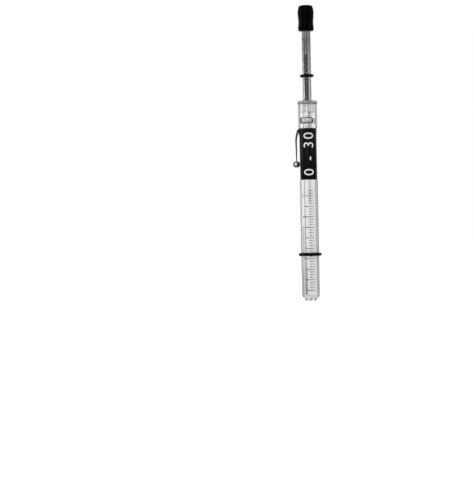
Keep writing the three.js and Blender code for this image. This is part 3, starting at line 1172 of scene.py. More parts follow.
class NodeShape:
    """A shape that a tree of geometry nodes makes from named sizes, all in millimetres."""

    def __init__(self, title: str, counts: Sequence[str], sizes: Sequence[str]) -> None:
        """Begins a tree with its inputs and its output.

        Args:
            title: Name of the tree.
            counts: Names of the inputs that take a whole number.
            sizes: Names of the inputs that take any number.
        """
        self.tree = bpy.data.node_groups.new(title, "GeometryNodeTree")
        kinds = {"Material": "NodeSocketMaterial"}
        kinds.update(dict.fromkeys(counts, "NodeSocketInt"))
        kinds.update(dict.fromkeys(sizes, "NodeSocketFloat"))
        ends = self.tree.interface
        self.keys: dict[str, str] = {}
        for name, kind in kinds.items():
            self.keys[name] = ends.new_socket(name=name, in_out="INPUT", socket_type=kind).identifier
        ends.new_socket(name="Geometry", in_out="OUTPUT", socket_type="NodeSocketGeometry")
        self.inputs = self.add("NodeGroupInput").outputs

    def add(self, kind: str, sockets: Sockets = (), **settings: Any) -> bpy.types.Node:
        """Adds a node to the tree."""
        return add_node(self.tree, kind, sockets, **settings)

    def spot(self) -> Any:
        """Gives the outputs X, Y and Z with the place of each point."""
        return self.add("ShaderNodeSeparateXYZ", (self.add("GeometryNodeInputPosition"),)).outputs

    def bend(self, geometry: Feed, radius: Feed, middle: Feed = 0.0) -> bpy.types.Node:
        """Bends flat geometry round +Z, X along the arc and Y out from the radius.

        Args:
            geometry: The geometry.
            radius: The radius on which Y = 0 comes to lie.
            middle: The turn to which X = 0 comes.

        Returns:
            The node with the bent geometry.
        """
        spot = self.spot()
        arc = self.add("ShaderNodeMath", (spot["X"], radius), operation="DIVIDE")
        turn = self.add("ShaderNodeMath", (arc, middle), operation="ADD")
        reach = self.add("ShaderNodeMath", (spot["Y"], radius), operation="ADD")
        back = self.add("ShaderNodeMath", (reach, -1.0), operation="MULTIPLY")
        ahead = self.add("ShaderNodeCombineXYZ", {"Y": back, "Z": spot["Z"]})
        turned = {"Vector": ahead, "Angle": turn}
        place = self.add("ShaderNodeVectorRotate", turned, rotation_type="Z_AXIS")
        return self.add("GeometryNodeSetPosition", {"Geometry": geometry, "Position": place})

    def close(self, geometry: Feed) -> None:
        """Ends the tree: metres for millimetres, instances made real, and the material.

        Args:
            geometry: The last geometry.
        """
        sized = self.add("GeometryNodeTransform", {"Geometry": geometry, "Scale": (MM, MM, MM)})
        real = self.add("GeometryNodeRealizeInstances", (sized,))
        dressed = {"Geometry": real, "Material": self.inputs["Material"]}
        self.add("NodeGroupOutput", (self.add("GeometryNodeSetMaterial", dressed),))

    def make(self, name: str, finish: Finish, **sizes: float) -> bpy.types.Object:
        """Runs the tree with its sizes and keeps the result as a plain mesh.

        Args:
            name: Name of the piece.
            finish: Its finish.
            **sizes: Values of the named inputs, with _ for a space, in millimetres or counts.

        Returns:
            The finished piece.
        """
        holder = in_scene(name + "_tree", bpy.data.meshes.new(name))
        modifier = holder.modifiers.new("shape", "NODES")
        modifier.node_group = self.tree
        modifier[self.keys["Material"]] = finish.material()
        for key, value in sizes.items():
            modifier[self.keys[key.replace("_", " ")]] = value
        mesh = final_mesh(holder)
        mesh.name = name
        bpy.data.objects.remove(holder)
        return in_scene(name, smoothed(mesh))


class TickRow(NodeShape):
    """A row of printed marks, one above the other, bent round a cylinder."""

    def __init__(self) -> None:
        """Builds the tree: a line of points, a flat bar on each, and the bend."""
        sizes = ("Pitch", "Start", "Left", "Width", "Height", "Depth", "Radius")
        super().__init__("row_of_printed_ticks", ("Count", "Strips"), sizes)
        given = self.inputs
        half_way = (given["Width"], 0.5, given["Left"])
        middle = self.add("ShaderNodeMath", half_way, operation="MULTIPLY_ADD")
        first = self.add("ShaderNodeCombineXYZ", {"X": middle, "Z": given["Start"]})
        step = self.add("ShaderNodeCombineXYZ", {"Z": given["Pitch"]})
        points = {"Count": given["Count"], "Start Location": first, "Offset": step}
        line = self.add("GeometryNodeMeshLine", points)
        size = self.add("ShaderNodeCombineXYZ", (given["Width"], given["Depth"], given["Height"]))
        bar = self.add("GeometryNodeMeshCube", {"Size": size, "Vertices X": given["Strips"]})
        bars = self.add("GeometryNodeInstanceOnPoints", {"Points": line, "Instance": bar})
        real = self.add("GeometryNodeRealizeInstances", (bars,))
        self.close(self.bend(real, given["Radius"]))


@dataclass(frozen=True)
class PrintedRow:
    """Flat marks of one size that are printed one above the other round a cylinder."""

    name: str
    finish: Finish
    left: float
    width: float
    start: float
    height: float
    pitch: float = 0.0
    count: int = 1

    @classmethod
    def line(cls, name: str, finish: Finish, left: float, width: float, ends: Point2) -> PrintedRow:
        """Gives a single long mark.

        Args:
            name: Name of the piece.
            finish: Its ink.
            left: Place of its left edge along the arc.
            width: Its width along the arc.
            ends: Its lowest and highest height.

        Returns:
            A row of one mark.
        """
        low, high = ends
        return cls(name, finish, left, width, (low + high) / 2, high - low)

    def lay(self, ticks: TickRow, body: Body, radius: float, strips: int) -> None:
        """Prints the row.

        Args:
            ticks: The tree that prints rows.
            body: The body that it is printed on.
            radius: Radius of the middle of the ink.
            strips: Corners along each edge of a mark, so that it can bend.
        """
        row = ticks.make(
            self.name,
            self.finish,
            Count=self.count,
            Pitch=self.pitch,
            Start=self.start,
            Left=self.left,
            Width=self.width,
            Height=self.height,
            Depth=INK,
            Radius=radius,
            Strips=strips,
        )
        dress(row, body, Slot.PRINT)


class CoilShape(NodeShape):
    """A compression spring: close coils at both ends and an even pitch between them."""

    section_sides = 12
    closed_coils = 2

    def __init__(self) -> None:
        """Builds the tree: points along the wire, their places on the helix, and the wire round them."""
        sizes = ("Active", "Low", "High", "End Pitch", "Reach", "Wire", "Ground Low", "Ground High")
        super().__init__("compression_spring_coils", ("Points",), sizes)
        given = self.inputs
        points = self.add("GeometryNodeMeshLine", {"Count": given["Points"]})
        wire = self.add("GeometryNodeMeshToCurve", (points,))
        index = self.add("GeometryNodeInputIndex")
        last = self.add("ShaderNodeMath", (given["Points"], 1.0), operation="SUBTRACT")
        share = self.add("ShaderNodeMath", (index, last), operation="DIVIDE")
        coils = self.add("ShaderNodeMath", (given["Active"], self.closed_coils), operation="ADD")
        coil = self.add("ShaderNodeMath", (share, coils), operation="MULTIPLY")
        turn = self.add("ShaderNodeMath", (coil, FULL_TURN), operation="MULTIPLY")
        height = self.coil_height(coil, coils)
        beside = self.add("ShaderNodeCombineXYZ", {"X": given["Reach"], "Z": height})
        turned = {"Vector": beside, "Angle": turn}
        place = self.add("ShaderNodeVectorRotate", turned, rotation_type="Z_AXIS")
        helix = self.add("GeometryNodeSetPosition", {"Geometry": wire, "Position": place})
        circle = {"Resolution": self.section_sides, "Radius": given["Wire"]}
        section = self.add("GeometryNodeCurvePrimitiveCircle", circle, mode="RADIUS")
        swept = {"Curve": helix, "Profile Curve": section, "Fill Caps": True}
        tube = self.add("GeometryNodeCurveToMesh", swept)
        spot = self.spot()
        ground = self.add("ShaderNodeClamp", (spot["Z"], given["Ground Low"], given["Ground High"]))
        flat = self.add("ShaderNodeCombineXYZ", (spot["X"], spot["Y"], ground))
        self.close(self.add("GeometryNodeSetPosition", {"Geometry": tube, "Position": flat}))

    def coil_height(self, coil: Feed, coils: Feed) -> Feed:
        """Gives the height of the wire's middle, which rises slowly in the first and the last coil.

        Args:
            coil: How many coils the place is from the lower end.
            coils: How many coils there are.

        Returns:
            The node with the height.
        """
        given, closed = self.inputs, self.closed_coils / 2
        upper = self.add("ShaderNodeMath", (given["Active"], closed), operation="ADD")
        low_end = self.add("ShaderNodeMath", (given["Low"], given["End Pitch"]), operation="ADD")
        high_start = self.add("ShaderNodeMath", (given["High"], given["End Pitch"]), operation="SUBTRACT")
        height, begin = given["Low"], 0.0
        for end, reached in ((closed, low_end), (upper, high_start), (coils, given["High"])):
            height = self.add("ShaderNodeMapRange", (coil, begin, end, height, reached))
            begin = end
        return height


class RimShape(NodeShape):
    """A bead that follows a rounded opening on a cylinder, and swells at the opening's sides."""

    section_sides = 10
    corner_steps = 6
    swell_power = 4.0

    def __init__(self) -> None:
        """Builds the tree: the opening's outline, its bend round the cylinder, and the bead."""
        sizes = ("Width", "Height", "Corner", "Middle", "Turn", "Radius", "Bead", "Side Swell", "Step")
        super().__init__("bead_round_an_opening", (), sizes)
        given = self.inputs
        sides = {"Width": given["Width"], "Height": given["Height"]}
        frame = self.add("GeometryNodeCurvePrimitiveQuadrilateral", sides, mode="RECTANGLE")
        corners = {"Curve": frame, "Radius": given["Corner"], "Count": self.corner_steps}
        soft = self.add("GeometryNodeFilletCurve", corners, mode="POLY")
        cuts = {"Curve": soft, "Length": given["Step"]}
        fine = self.add("GeometryNodeResampleCurve", cuts, mode="LENGTH")
        spot = self.spot()
        height = self.add("ShaderNodeMath", (spot["Y"], given["Middle"]), operation="ADD")
        upright = self.add("ShaderNodeCombineXYZ", {"X": spot["X"], "Z": height})
        stood = self.add("GeometryNodeSetPosition", {"Geometry": fine, "Position": upright})
        bent = self.bend(stood, given["Radius"], given["Turn"])
        half = self.add("ShaderNodeMath", (given["Width"], 0.5), operation="MULTIPLY")
        across = self.add("ShaderNodeMath", (spot["X"], half), operation="DIVIDE")
        aside = self.add("ShaderNodeMath", (across,), operation="ABSOLUTE")
        beside = self.add("ShaderNodeMath", (aside, self.swell_power), operation="POWER")
        growth = (beside, given["Side Swell"], 1.0)
        swell = self.add("ShaderNodeMath", growth, operation="MULTIPLY_ADD")
        circle = {"Resolution": self.section_sides, "Radius": given["Bead"]}
        section = self.add("GeometryNodeCurvePrimitiveCircle", circle, mode="RADIUS")
        swept = {"Curve": bent, "Profile Curve": section, "Scale": swell}
        self.close(self.add("GeometryNodeCurveToMesh", swept))


@dataclass
class Barrel:
    """The clear tube with its latch windows, and the nose plug in its foot."""

    sides: int = 144
    bore: float = 4.3
    foot_radius: float = 5.1
    lower_radius: float = 5.3
    head_radius: float = 5.68
    head_length: float = 14.6
    head_rise: float = 0.3
    foot_rise: float = 0.7
    foot_round: float = 0.12
    shoulder_round: float = 0.5
    step_round: float = 0.15
    mouth_round: float = 0.3
    mouth_edge: float = 0.1
    window_width: float = 7.4
    window_height: float = 3.45
    window_drop: float = 8.4
    window_corner: float = 0.9
    window_turn: float = math.radians(-5.2)
    window_margin: float = 0.6
    cutter_past: float = 1.0
    bead: float = 0.18
    bead_side_swell: float = 1.0
    bead_step: float = 0.2
    skin: float = 0.08
    slack: float = 0.03
    rim_slant: float = 0.6
    nose_radius: float = 3.8
    nose_height: float = 1.0
    nose_edge: float = 0.4
    nose_corner: float = 0.2
    cone_radius: float = 4.85
    cone_drop: float = 0.45
    cone_round: float = 0.4
    seat_round: float = 0.06
    spigot_gap: float = 0.05
    spigot_length: float = 5.6
    spigot_edge: float = 0.4
    boss_radius: float = 1.9
    boss_edge: float = 0.5
    flutes: int = 8
    flute_width: float = 0.9
    flute_depth: float = 0.3
    flute_foot: float = 0.2
    flute_columns: int = 24

    def __post_init__(self) -> None:
        """Reads the tube's ends from the frame, and works out its other heights."""
        self.foot, self.top = span("barrel_tube")
        self.head_step = self.top - self.head_length
        self.window_high = self.top - self.window_drop
        self.window_low = self.window_high - self.window_height
        self.cone_top = self.foot - self.cone_drop

    def tube(self) -> None:
        """Builds the tube and cuts its two windows."""
        over, under = self.window_high + self.window_margin, self.window_low - self.window_margin
        profile = rounded(
            [
                (self.bore, self.foot),
                (self.foot_radius, self.foot, self.foot_round),
                (self.lower_radius, self.foot + self.foot_rise, self.shoulder_round),
                (self.lower_radius, self.head_step - self.head_rise, self.step_round),
                (self.head_radius, self.head_step, self.step_round),
                (self.head_radius, under),
                (self.head_radius, over),
                (self.head_radius, self.top, self.mouth_round),
                (self.bore, self.top, self.mouth_edge),
                (self.bore, over),
                (self.bore, under),
            ]
        )
        bm = revolve(profile, self.sides)
        made = to_object("clear_barrel_tube", bm, TUBE_WALL, TUBE_BORE, TUBE_RIM, TUBE_RIM_FAR)
        combined(made, self.window_cutter(), "DIFFERENCE")
        paint(made, self.tube_finish)
        dress(made, Body.BARREL, Slot.CLEAR, "barrel_tube")

    def window_cutter(self) -> bpy.types.Object:
        """Builds the block that goes through both windows.

        Returns:
            An object that is only used to cut.
        """
        half, reach = self.window_width / 2, self.head_radius + self.cutter_past
        low, high = (-half, self.window_low), (half, self.window_high)
        bm = plate(box_outline(low, high, self.window_corner), 2 * reach)
        bmesh.ops.translate(bm, vec=(0, -reach, 0), verts=bm.verts)
        bmesh.ops.rotate(bm, matrix=Matrix.Rotation(self.window_turn, 3, "Z"), verts=bm.verts)
        return to_object("window_cutter", bm)

    def tube_finish(self, middle: Vector, normal: Vector) -> int:
        """Chooses the finish of one of the tube's faces.

        Args:
            middle: The face's middle in millimetres.
            normal: The face's normal.

        Returns:
            0 for the wall, 1 for the bore, 2 for the front window's cut edge and 3 for the back one's.
        """
        reach = middle.xy.length
        if reach < self.bore + self.slack:
            return 1
        level = self.window_low - self.slack < middle.z < self.window_high + self.slack
        under = reach <= self.head_radius - self.skin
        cut = middle.xy.dot(normal.xy) / reach <= self.rim_slant
        if not (level and under and cut):
            return 0
        return 2 if middle.y < 0 else 3

    def rims(self) -> None:
        """Builds the moulded bead round each window."""
        tree = RimShape()
        rims = (("front", TUBE_RIM, self.head_radius), ("back", TUBE_RIM_FAR, -self.head_radius))
        for name, finish, radius in rims:
            rim = tree.make(
                f"window_rim_{name}",
                finish,
                Width=self.window_width,
                Height=self.window_height,
                Corner=self.window_corner,
                Middle=(self.window_high + self.window_low) / 2,
                Turn=self.window_turn,
                Radius=radius,
                Bead=self.bead,
                Side_Swell=self.bead_side_swell,
                Step=self.bead_step,
            )
            dress(rim, Body.BARREL, Slot.CLEAR)

    def flute(self, radius: float, height: float, turn: float) -> float:
        """Gives the nose's radius, less where a flute is cut in it.

        Args:
            radius: Radius without flutes.
            height: Height of the place.
            turn: Turn of the place.

        Returns:
            The radius of the fluted nose.
        """
        if height > self.cone_top or radius < self.nose_radius - self.nose_edge - self.slack:
            return radius
        pitch = FULL_TURN / self.flutes
        off = (turn / pitch + 0.5) % 1.0 * pitch - pitch / 2
        across = 2 * radius * math.sin(off) / self.flute_width
        if abs(across) >= 1:
            return radius
        fade = min(1.0, (self.cone_top - height) / self.cone_drop)
        return radius - self.flute_depth * fade * math.sqrt(1 - across**2)

    def nose(self) -> None:
        """Builds the fluted nose plug with its spigot and the boss in the spring."""
        spigot = self.bore - self.spigot_gap
        top = self.foot + self.spigot_length
        _, boss_top = span("nose_plug")
        outside = rounded(
            [
                (0.0, 0.0),
                (self.nose_radius, 0.0, self.nose_edge),
                (self.nose_radius, self.nose_height, self.nose_corner),
                (self.cone_radius, self.cone_top, self.cone_round),
                (self.foot_radius, self.foot, self.seat_round),
                (spigot, self.foot),
            ]
        )
        profile = [
            *outside,
            (spigot, top - self.spigot_edge),
            (spigot - self.spigot_edge, top),
            (self.boss_radius, top),
            (self.boss_radius, boss_top - self.boss_edge),
            (self.boss_radius - self.boss_edge, boss_top),
            (0.0, boss_top),
        ]
        bm = revolve(profile, self.flutes * self.flute_columns, carve=self.flute)
        made = to_object("fluted_nose_plug", bm, NOSE, NOSE_FLUTE)
        paint(made, self.nose_finish)
        dress(made, Body.BARREL, Slot.FROSTED, "nose_plug")

    def nose_finish(self, middle: Vector, normal: Vector) -> int:
        """Chooses the darker finish for the bottom of each flute.

        Args:
            middle: The face's middle in millimetres.
            normal: The face's normal.

        Returns:
            1 inside a flute and 0 elsewhere.
        """
        if not self.flute_foot < middle.z < self.cone_top:
            return 0
        reach, turn = middle.xy.length, math.atan2(middle.x, -middle.y)
        return 1 if self.flute(reach, middle.z, turn) < reach - self.flute_depth / 2 else 0


@dataclass
class DeflectionScale:
    """The pale film on the lower barrel with its scale in fractions of an inch."""

    barrel: Barrel
    thickness: float = 0.11
    edge: float = 0.03
    edge_steps: int = 2
    inch: float = 25.4
    fine_parts: int = 16
    long_parts: int = 4
    last_mark: float = 66.7
    tick_height: float = 0.42
    tick_strips: int = 12
    fine_left: float = 0.05
    fine_width: float = 3.3
    long_left: float = -2.3
    long_width: float = 5.6
    margin: float = 0.3
    line_strips: int = 3
    line_level: float = 0.4
    middle_line_foot: float = 60.0
    figure_size: float = 3.2
    half_size: float = 1.9
    figures_at: float = -2.75
    tiny_size: float = 1.7
    tiny_at: float = -3.7
    tiny_first: int = 2
    tiny_last: int = 28
    strip: float = 0.35

    def __post_init__(self) -> None:
        """Reads the film's ends from the frame, and works out its inner and outer radius."""
        self.low, self.high = span("scale_sleeve")
        self.inner = self.barrel.lower_radius + FILM_GAP
        self.outer = self.inner + self.thickness

    def film(self) -> None:
        """Builds the film as a thin sleeve."""
        low, high = (self.inner, self.low), (self.outer, self.high)
        profile = box_outline(low, high, (0.0, self.edge, self.edge, 0.0), self.edge_steps)
        made = to_object("scale_film", revolve(profile, self.barrel.sides), SCALE_FILM)
        dress(made, Body.BARREL, Slot.FILM, "scale_sleeve")

    def marks(self, ticks: TickRow) -> None:
        """Prints the ticks, the lines beside them and the strips of painted shade.

        Args:
            ticks: The tree that prints rows.
        """
        fine, long = self.inch / self.fine_parts, self.inch / self.long_parts
        rows = (
            ("scale_fine_ticks", fine, self.fine_left, self.fine_width),
            ("scale_long_ticks", long, self.long_left, self.long_width),
        )
        for name, pitch, left, width in rows:
            count = int((self.last_mark - long) / pitch) + 1
            row = PrintedRow(name, SCALE_INK, left, width, long, self.tick_height, pitch, count)
            row.lay(ticks, Body.BARREL, self.outer + INK / 2, self.tick_strips)
        foot, head = self.low + self.margin, self.high - self.margin
        # Name, ink, left edge, width, lowest and highest height. They lie a little deeper than the ticks.
        lines = (
            ("scale_line", LINE_INK, -2.55, 0.3, foot, head),
            ("scale_middle_line", FAINT_INK, 0.25, 1.5, self.middle_line_foot, head),
            # A strip of painted shade down the tube's right wall.
            ("scale_far_line", SHADE_AND_REFLECTION_INK, 4.675, 0.75, foot, head),
            # Strips of painted shade, darkest at the film's foot and fading upwards.
            ("scale_rubbed_line", LINE_PAINTED_SHADE_INK, -2.21, 0.36, foot, LINE_PAINTED_SHADE_INK.fade_to),
            ("scale_rubbed_right", PAINTED_SHADE_INK, -1.82, 0.44, foot, PAINTED_SHADE_INK.fade_to),
            ("scale_rubbed_left", PAINTED_SHADE_INK, -2.98, 0.4, foot, PAINTED_SHADE_INK.fade_to),
            ("scale_rubbed_side", PAINTED_SHADE_INK, -4.8, 0.8, foot, PAINTED_SHADE_INK.fade_to),
        )
        reach = self.outer + INK * self.line_level
        for name, finish, left, width, base, end in lines:
            line = PrintedRow.line(name, finish, left, width, (base, end))
            line.lay(ticks, Body.BARREL, reach, self.line_strips)

    def figures(self) -> None:
        """Prints the inches, and the sixteenths in small figures beside them."""
        marks = [
            Figures("1", self.figure_size, self.figures_at, self.inch),
            Figures("2", self.figure_size, self.figures_at, 2 * self.inch),
            Figures("1/2", self.half_size, self.tiny_at, 2.5 * self.inch),
        ]
        for i in range(self.tiny_first, self.tiny_last + 1):
            place = i / self.fine_parts * self.inch
            marks.append(Figures(str(i), self.tiny_size, self.tiny_at, place))
        bm = wrapped(gathered([mark.mesh() for mark in marks]), self.outer, self.strip)
        dress(to_object("scale_figures", bm, SCALE_INK), Body.BARREL, Slot.PRINT)


@dataclass
class Label:
    """The black patch on the front of the upper barrel, with a plain range in figures."""

    barrel: Barrel
    thickness: float = 0.13
    edge: float = 0.03
    left_turn: float = math.radians(67)
    foot_turn: float = math.radians(56)
    right_turn: float = math.radians(68)
    corner: float = 1.1
    small_corner: float = 0.25
    overhang: float = 0.2
    text: str = "0 - 30"
    text_size: float = 8.8
    text_spacing: float = 1.25
    text_arc: float = 1.0
    strip: float = 0.3

    def build(self) -> None:
        """Builds the patch and the figures on it."""
        low, high = span("black_label")
        low -= self.overhang
        inner = self.barrel.lower_radius + FILM_GAP
        outer = inner + self.thickness
        turns = (self.left_turn, self.foot_turn, self.right_turn)
        left, foot, right = (turn * inner for turn in turns)
        outline = rounded(
            [
                (-foot, low, self.corner),
                (right, low, self.small_corner),
                (right, high, self.small_corner),
                (-left, high, self.small_corner),
            ],
            steps=5,
        )
        bm = wrapped(plate(outline, self.thickness, self.edge), inner, self.strip)
        dress(to_object("black_label_patch", bm, LABEL_FILM), Body.BARREL, Slot.PRINT, "black_label")
        middle = (low + high) / 2
        figures = Figures(self.text, self.text_size, self.text_arc, middle, self.text_spacing)
        bm = wrapped(figures.mesh(), outer, self.strip)
        dress(to_object("label_figures", bm, WHITE_INK), Body.BARREL, Slot.FILM)


@dataclass
class Bush:
    """The snap-in guide bush: a flange, a skirt, and two leaves whose teeth sit in the windows."""

    barrel: Barrel
    bore: float = 2.8
    gap: float = 0.05
    bore_edge: float = 0.2
    mouth_edge: float = 0.25
    corner: float = 0.15
    flange_radius: float = 6.0
    flange_round: float = 0.4
    skirt_length: float = 5.2
    line_height: float = 0.4
    edge_height: float = 0.4
    edge_from: float = 4.4
    leaf_thickness: float = 0.9
    leaf_width: float = 6.6
    leaf_tail: float = 2.4
    leaf_overlap: float = 1.0
    leaf_edge: float = 0.25
    tooth_gap: float = 0.3
    tooth_shy: float = 0.25
    tooth_slope: float = 0.9
    tooth_foot_round: float = 0.1
    tooth_round: float = 0.15
    tooth_edge: float = 0.2
    near: float = 0.1
    slack: float = 0.01
    columns: int = 28

    def leaf(self, side: int) -> bpy.types.Object:
        """Builds one leaf with its tooth.

        Args:
            side: -1 for the front and 1 for the back.

        Returns:
            The leaf, ready to be joined to the bush.
        """
        barrel, slope = self.barrel, self.tooth_slope
        skirt, tooth = barrel.bore - self.gap, barrel.head_radius - self.tooth_shy
        inner = skirt - self.leaf_thickness
        low, high = barrel.window_low + self.tooth_gap, barrel.window_high - self.tooth_gap
        foot = barrel.window_low - self.leaf_tail
        head = barrel.top - self.skirt_length + self.leaf_overlap
        profile = rounded(
            [
                (inner, foot, self.corner),
                (skirt, foot, self.leaf_edge),
                (skirt, low),
                (tooth - slope, low, self.tooth_foot_round),
                (tooth, low + slope, self.tooth_round),
                (tooth, high, self.tooth_edge),
                (skirt, high),
                (skirt, head),
                (inner, head),
            ],
            steps=3,
        )
        columns = []
        for j in range(self.columns + 1):
            x = self.leaf_width / 2 * math.sin((j / self.columns - 0.5) * HALF_TURN)
            columns.append([(x, side * math.sqrt(max(r * r - x * x, 0.0)), z) for r, z in profile])
        bm = lofted(columns)
        bmesh.ops.rotate(bm, matrix=Matrix.Rotation(barrel.window_turn, 3, "Z"), verts=bm.verts)
        return to_object("bush_leaf", bm, BUSH_LEAF)

    def build(self) -> None:
        """Builds the bush in one piece."""
        skirt, top = self.barrel.bore - self.gap, self.barrel.top
        low = top - self.skirt_length
        _, high = span("guide_bush")
        profile = rounded(
            [
                (self.bore, low, self.bore_edge),
                (skirt, low, self.corner),
                (skirt, low + self.line_height),
                (skirt, top),
                (self.flange_radius, top, self.corner),
                (self.flange_radius, top + self.edge_height),
                (self.flange_radius, high, self.flange_round),
                (self.bore, high, self.mouth_edge),
            ]
        )
        bm = revolve(profile, self.barrel.sides)
        made = to_object("guide_bush_moulded", bm, BUSH_SKIRT, BUSH_LEAF, BUSH_FLANGE, BUSH_SHADOW_EDGE)
        for side in (-1, 1):
            combined(made, self.leaf(side), "UNION")
        paint(made, self.finish)
        dress(made, Body.BARREL, Slot.SMOKED, "guide_bush")

    def finish(self, middle: Vector, normal: Vector) -> int:
        """Chooses the finish of one of the bush's faces.

        Args:
            middle: The face's middle in millimetres.
            normal: The face's normal.

        Returns:
            0 for the skirt and the teeth, 1 for the leaves, 2 for the flange and the skirt's lower end, in
            the painted grey of thick plastic, and 3 for the flange's lower edge, with its painted shadow
            line.
        """
        reach, top = middle.xy.length, self.barrel.top
        skirt_low = top - self.skirt_length
        if middle.z < skirt_low - self.slack:
            return 0 if reach > self.barrel.bore + self.near else 1
        if middle.z < skirt_low + self.line_height:
            return 2 if reach > self.bore + self.near else 1
        if middle.z < top - self.slack:
            return 0
        return 3 if middle.z < top + self.edge_height and reach > self.edge_from else 2


@dataclass
class Plunger:
    """The rod with its force scale, the collar and snap ring on its stem, and the push cap."""

    sides: int = 96
    rod_radius: float = 2.65
    rod_edge: float = 0.4
    stem_radius: float = 1.75
    groove_depth: float = 0.35
    snap_thickness: float = 0.6
    snap_gap: float = 0.12
    snap_radius: float = 2.25
    snap_mouth: float = 1.5
    snap_edge: float = 0.1
    collar_radius: float = 4.1
    collar_edge: float = 0.4
    collar_bore_edge: float = 0.1
    collar_groove: float = 1.6
    collar_groove_depth: float = 0.5
    groove_edge: float = 0.08
    groove_round: float = 0.15
    slip: float = 0.05
    strip: float = 0.2
    force_from: float = 0.5
    force_step: float = 1.233
    forces: int = 30
    broad_ticks: int = 13
    middle_ticks: int = 10
    tick_strips: int = 10
    line_strips: int = 4
    figure_every: int = 5
    figure_size: float = 1.7
    figures_at: float = -2.2
    line_past: float = 3.6
    # Lowest height of the painted dark reflections on the rod.
    worn_low: float = 105.0
    socket_gap: float = 0.1
    socket_over: float = 0.3
    socket_chamfer: float = 0.2
    # Radius of the cap at each share of its length.
    cap_side: tuple[Point2, ...] = (
        (4.3, 0.0),
        (4.6, 0.03),
        (4.8, 0.09),
        (4.76, 0.17),
        (4.56, 0.27),
        (4.53, 0.36),
        (4.62, 0.46),
        (4.76, 0.56),
        (4.87, 0.66),
        (4.88, 0.74),
        (4.8, 0.81),
        (4.58, 0.88),
        (4.3, 0.94),
        (3.9, 0.975),
        (3.3, 0.994),
        (2.2, 1.0),
    )

    def __post_init__(self) -> None:
        """Reads the heights of the rod and the collar from the frame."""
        self.rod_low, self.rod_high = span("plunger_rod")
        self.collar_low, self.collar_high = span("piston_collar")
        _, self.zero = span("guide_bush")

    def rod(self) -> None:
        """Builds the rod with its stem."""
        groove_low = self.collar_low - self.snap_thickness - self.snap_gap
        core = self.stem_radius - self.groove_depth
        profile = rounded(
            [
                (0.0, self.rod_low),
                (self.stem_radius, self.rod_low, self.rod_edge),
                (self.stem_radius, groove_low),
                (core, groove_low),
                (core, self.collar_low),
                (self.stem_radius, self.collar_low),
                (self.stem_radius, self.collar_high),
                (self.rod_radius, self.collar_high, self.rod_edge),
                (self.rod_radius, self.zero),
                (self.rod_radius, self.rod_high, self.rod_edge),
                (0.0, self.rod_high),
            ]
        )
        made = to_object("plunger_rod_drawn", revolve(profile, self.sides), ROD_METAL, BARE_METAL)
        paint(made, lambda middle, normal: 1 if middle.z < self.zero else 0)
        dress(made, Body.PLUNGER, Slot.ALUMINIUM, "plunger_rod")

    def force_scale(self, ticks: TickRow) -> None:
        """Prints the force scale's ticks, lines and figures on the rod, and painted dark reflections below
        it.

        Args:
            ticks: The tree that prints rows.
        """
        step, first = self.force_step, self.zero + self.force_from
        middle = self.broad_ticks
        high = middle + self.middle_ticks
        longs, long_step = self.forces // self.figure_every + 1, step * self.figure_every
        # Name, left edge, width, first force, height of a mark, pitch and count.
        rows = (
            ("force_ticks_low", -1.2, 2.45, 0, 1.06, step, middle),
            ("force_ticks_middle", -1.6, 2.5, middle, 1.0, step, self.middle_ticks),
            ("force_ticks_high", -1.9, 2.7, high, 0.42, step, self.forces + 1 - high),
            ("force_long_ticks", -1.6, 3.1, 0, 0.4, long_step, longs),
        )
        reach = self.rod_radius + INK / 2
        for name, left, width, force, height, pitch, count in rows:
            start = first + force * step
            row = PrintedRow(name, ROD_INK, left, width, start, height, pitch, count)
            row.lay(ticks, Body.PLUNGER, reach, self.tick_strips)
        printed = (first, first + self.forces * step + self.line_past)
        # The painted dark reflections reach from there up to the scale's zero.
        worn = (self.worn_low, self.zero)
        # Name, ink, left edge, width, and lowest and highest height.
        lines = (
            ("force_scale_line", ROD_INK, 0.25, 0.3, printed),
            ("force_scale_edge", ROD_INK, -1.35, 0.3, printed),
            # The last two rows are painted dark reflections of the rod's metal.
            ("force_worn_band", SHADE_AND_REFLECTION_INK, 0.65, 1.4, worn),
            ("force_worn_edge", SHADE_AND_REFLECTION_INK, -3.05, 0.67, worn),
        )
        for line in lines:
            PrintedRow.line(*line).lay(ticks, Body.PLUNGER, reach, self.line_strips)
        parts = []
        for value in range(0, self.forces + 1, self.figure_every):
            place = first + value * step
            parts.append(Figures(str(value), self.figure_size, self.figures_at, place).mesh())
        bm = wrapped(gathered(parts), self.rod_radius, self.strip)
        dress(to_object("force_figures", bm, ROD_INK), Body.PLUNGER, Slot.PRINT)

    def collar(self) -> None:
        """Builds the turned collar that the spring pushes on."""
        bore = self.stem_radius + self.slip
        middle = (self.collar_low + self.collar_high) / 2
        half, floor = self.collar_groove / 2, self.collar_radius - self.collar_groove_depth
        profile = rounded(
            [
                (bore, self.collar_low, self.collar_bore_edge),
                (self.collar_radius, self.collar_low, self.collar_edge),
                (self.collar_radius, middle - half, self.groove_edge),
                (floor, middle - half, self.groove_round),
                (floor, middle + half, self.groove_round),
                (self.collar_radius, middle + half, self.groove_edge),
                (self.collar_radius, self.collar_high, self.collar_edge),
                (bore, self.collar_high, self.collar_bore_edge),
            ],
            steps=3,
        )
        made = to_object("piston_collar_turned", revolve(profile, self.sides), COLLAR_METAL)
        dress(made, Body.PLUNGER, Slot.BRASS, "piston_collar")

    def snap_ring(self) -> None:
        """Builds the open snap ring in the stem's groove."""
        low, high = span("retaining_clip")
        inner = self.stem_radius - self.groove_depth + self.slip
        profile = box_outline((inner, low), (self.snap_radius, high), self.snap_edge, steps=2)
        half = math.asin(self.snap_mouth / 2 / self.snap_radius)
        bm = revolve(profile, self.sides, start=HALF_TURN + half, sweep=FULL_TURN - 2 * half)
        made = to_object("snap_ring_pressed", bm, WASHER_METAL)
        dress(made, Body.PLUNGER, Slot.SPRING_STEEL, "retaining_clip")

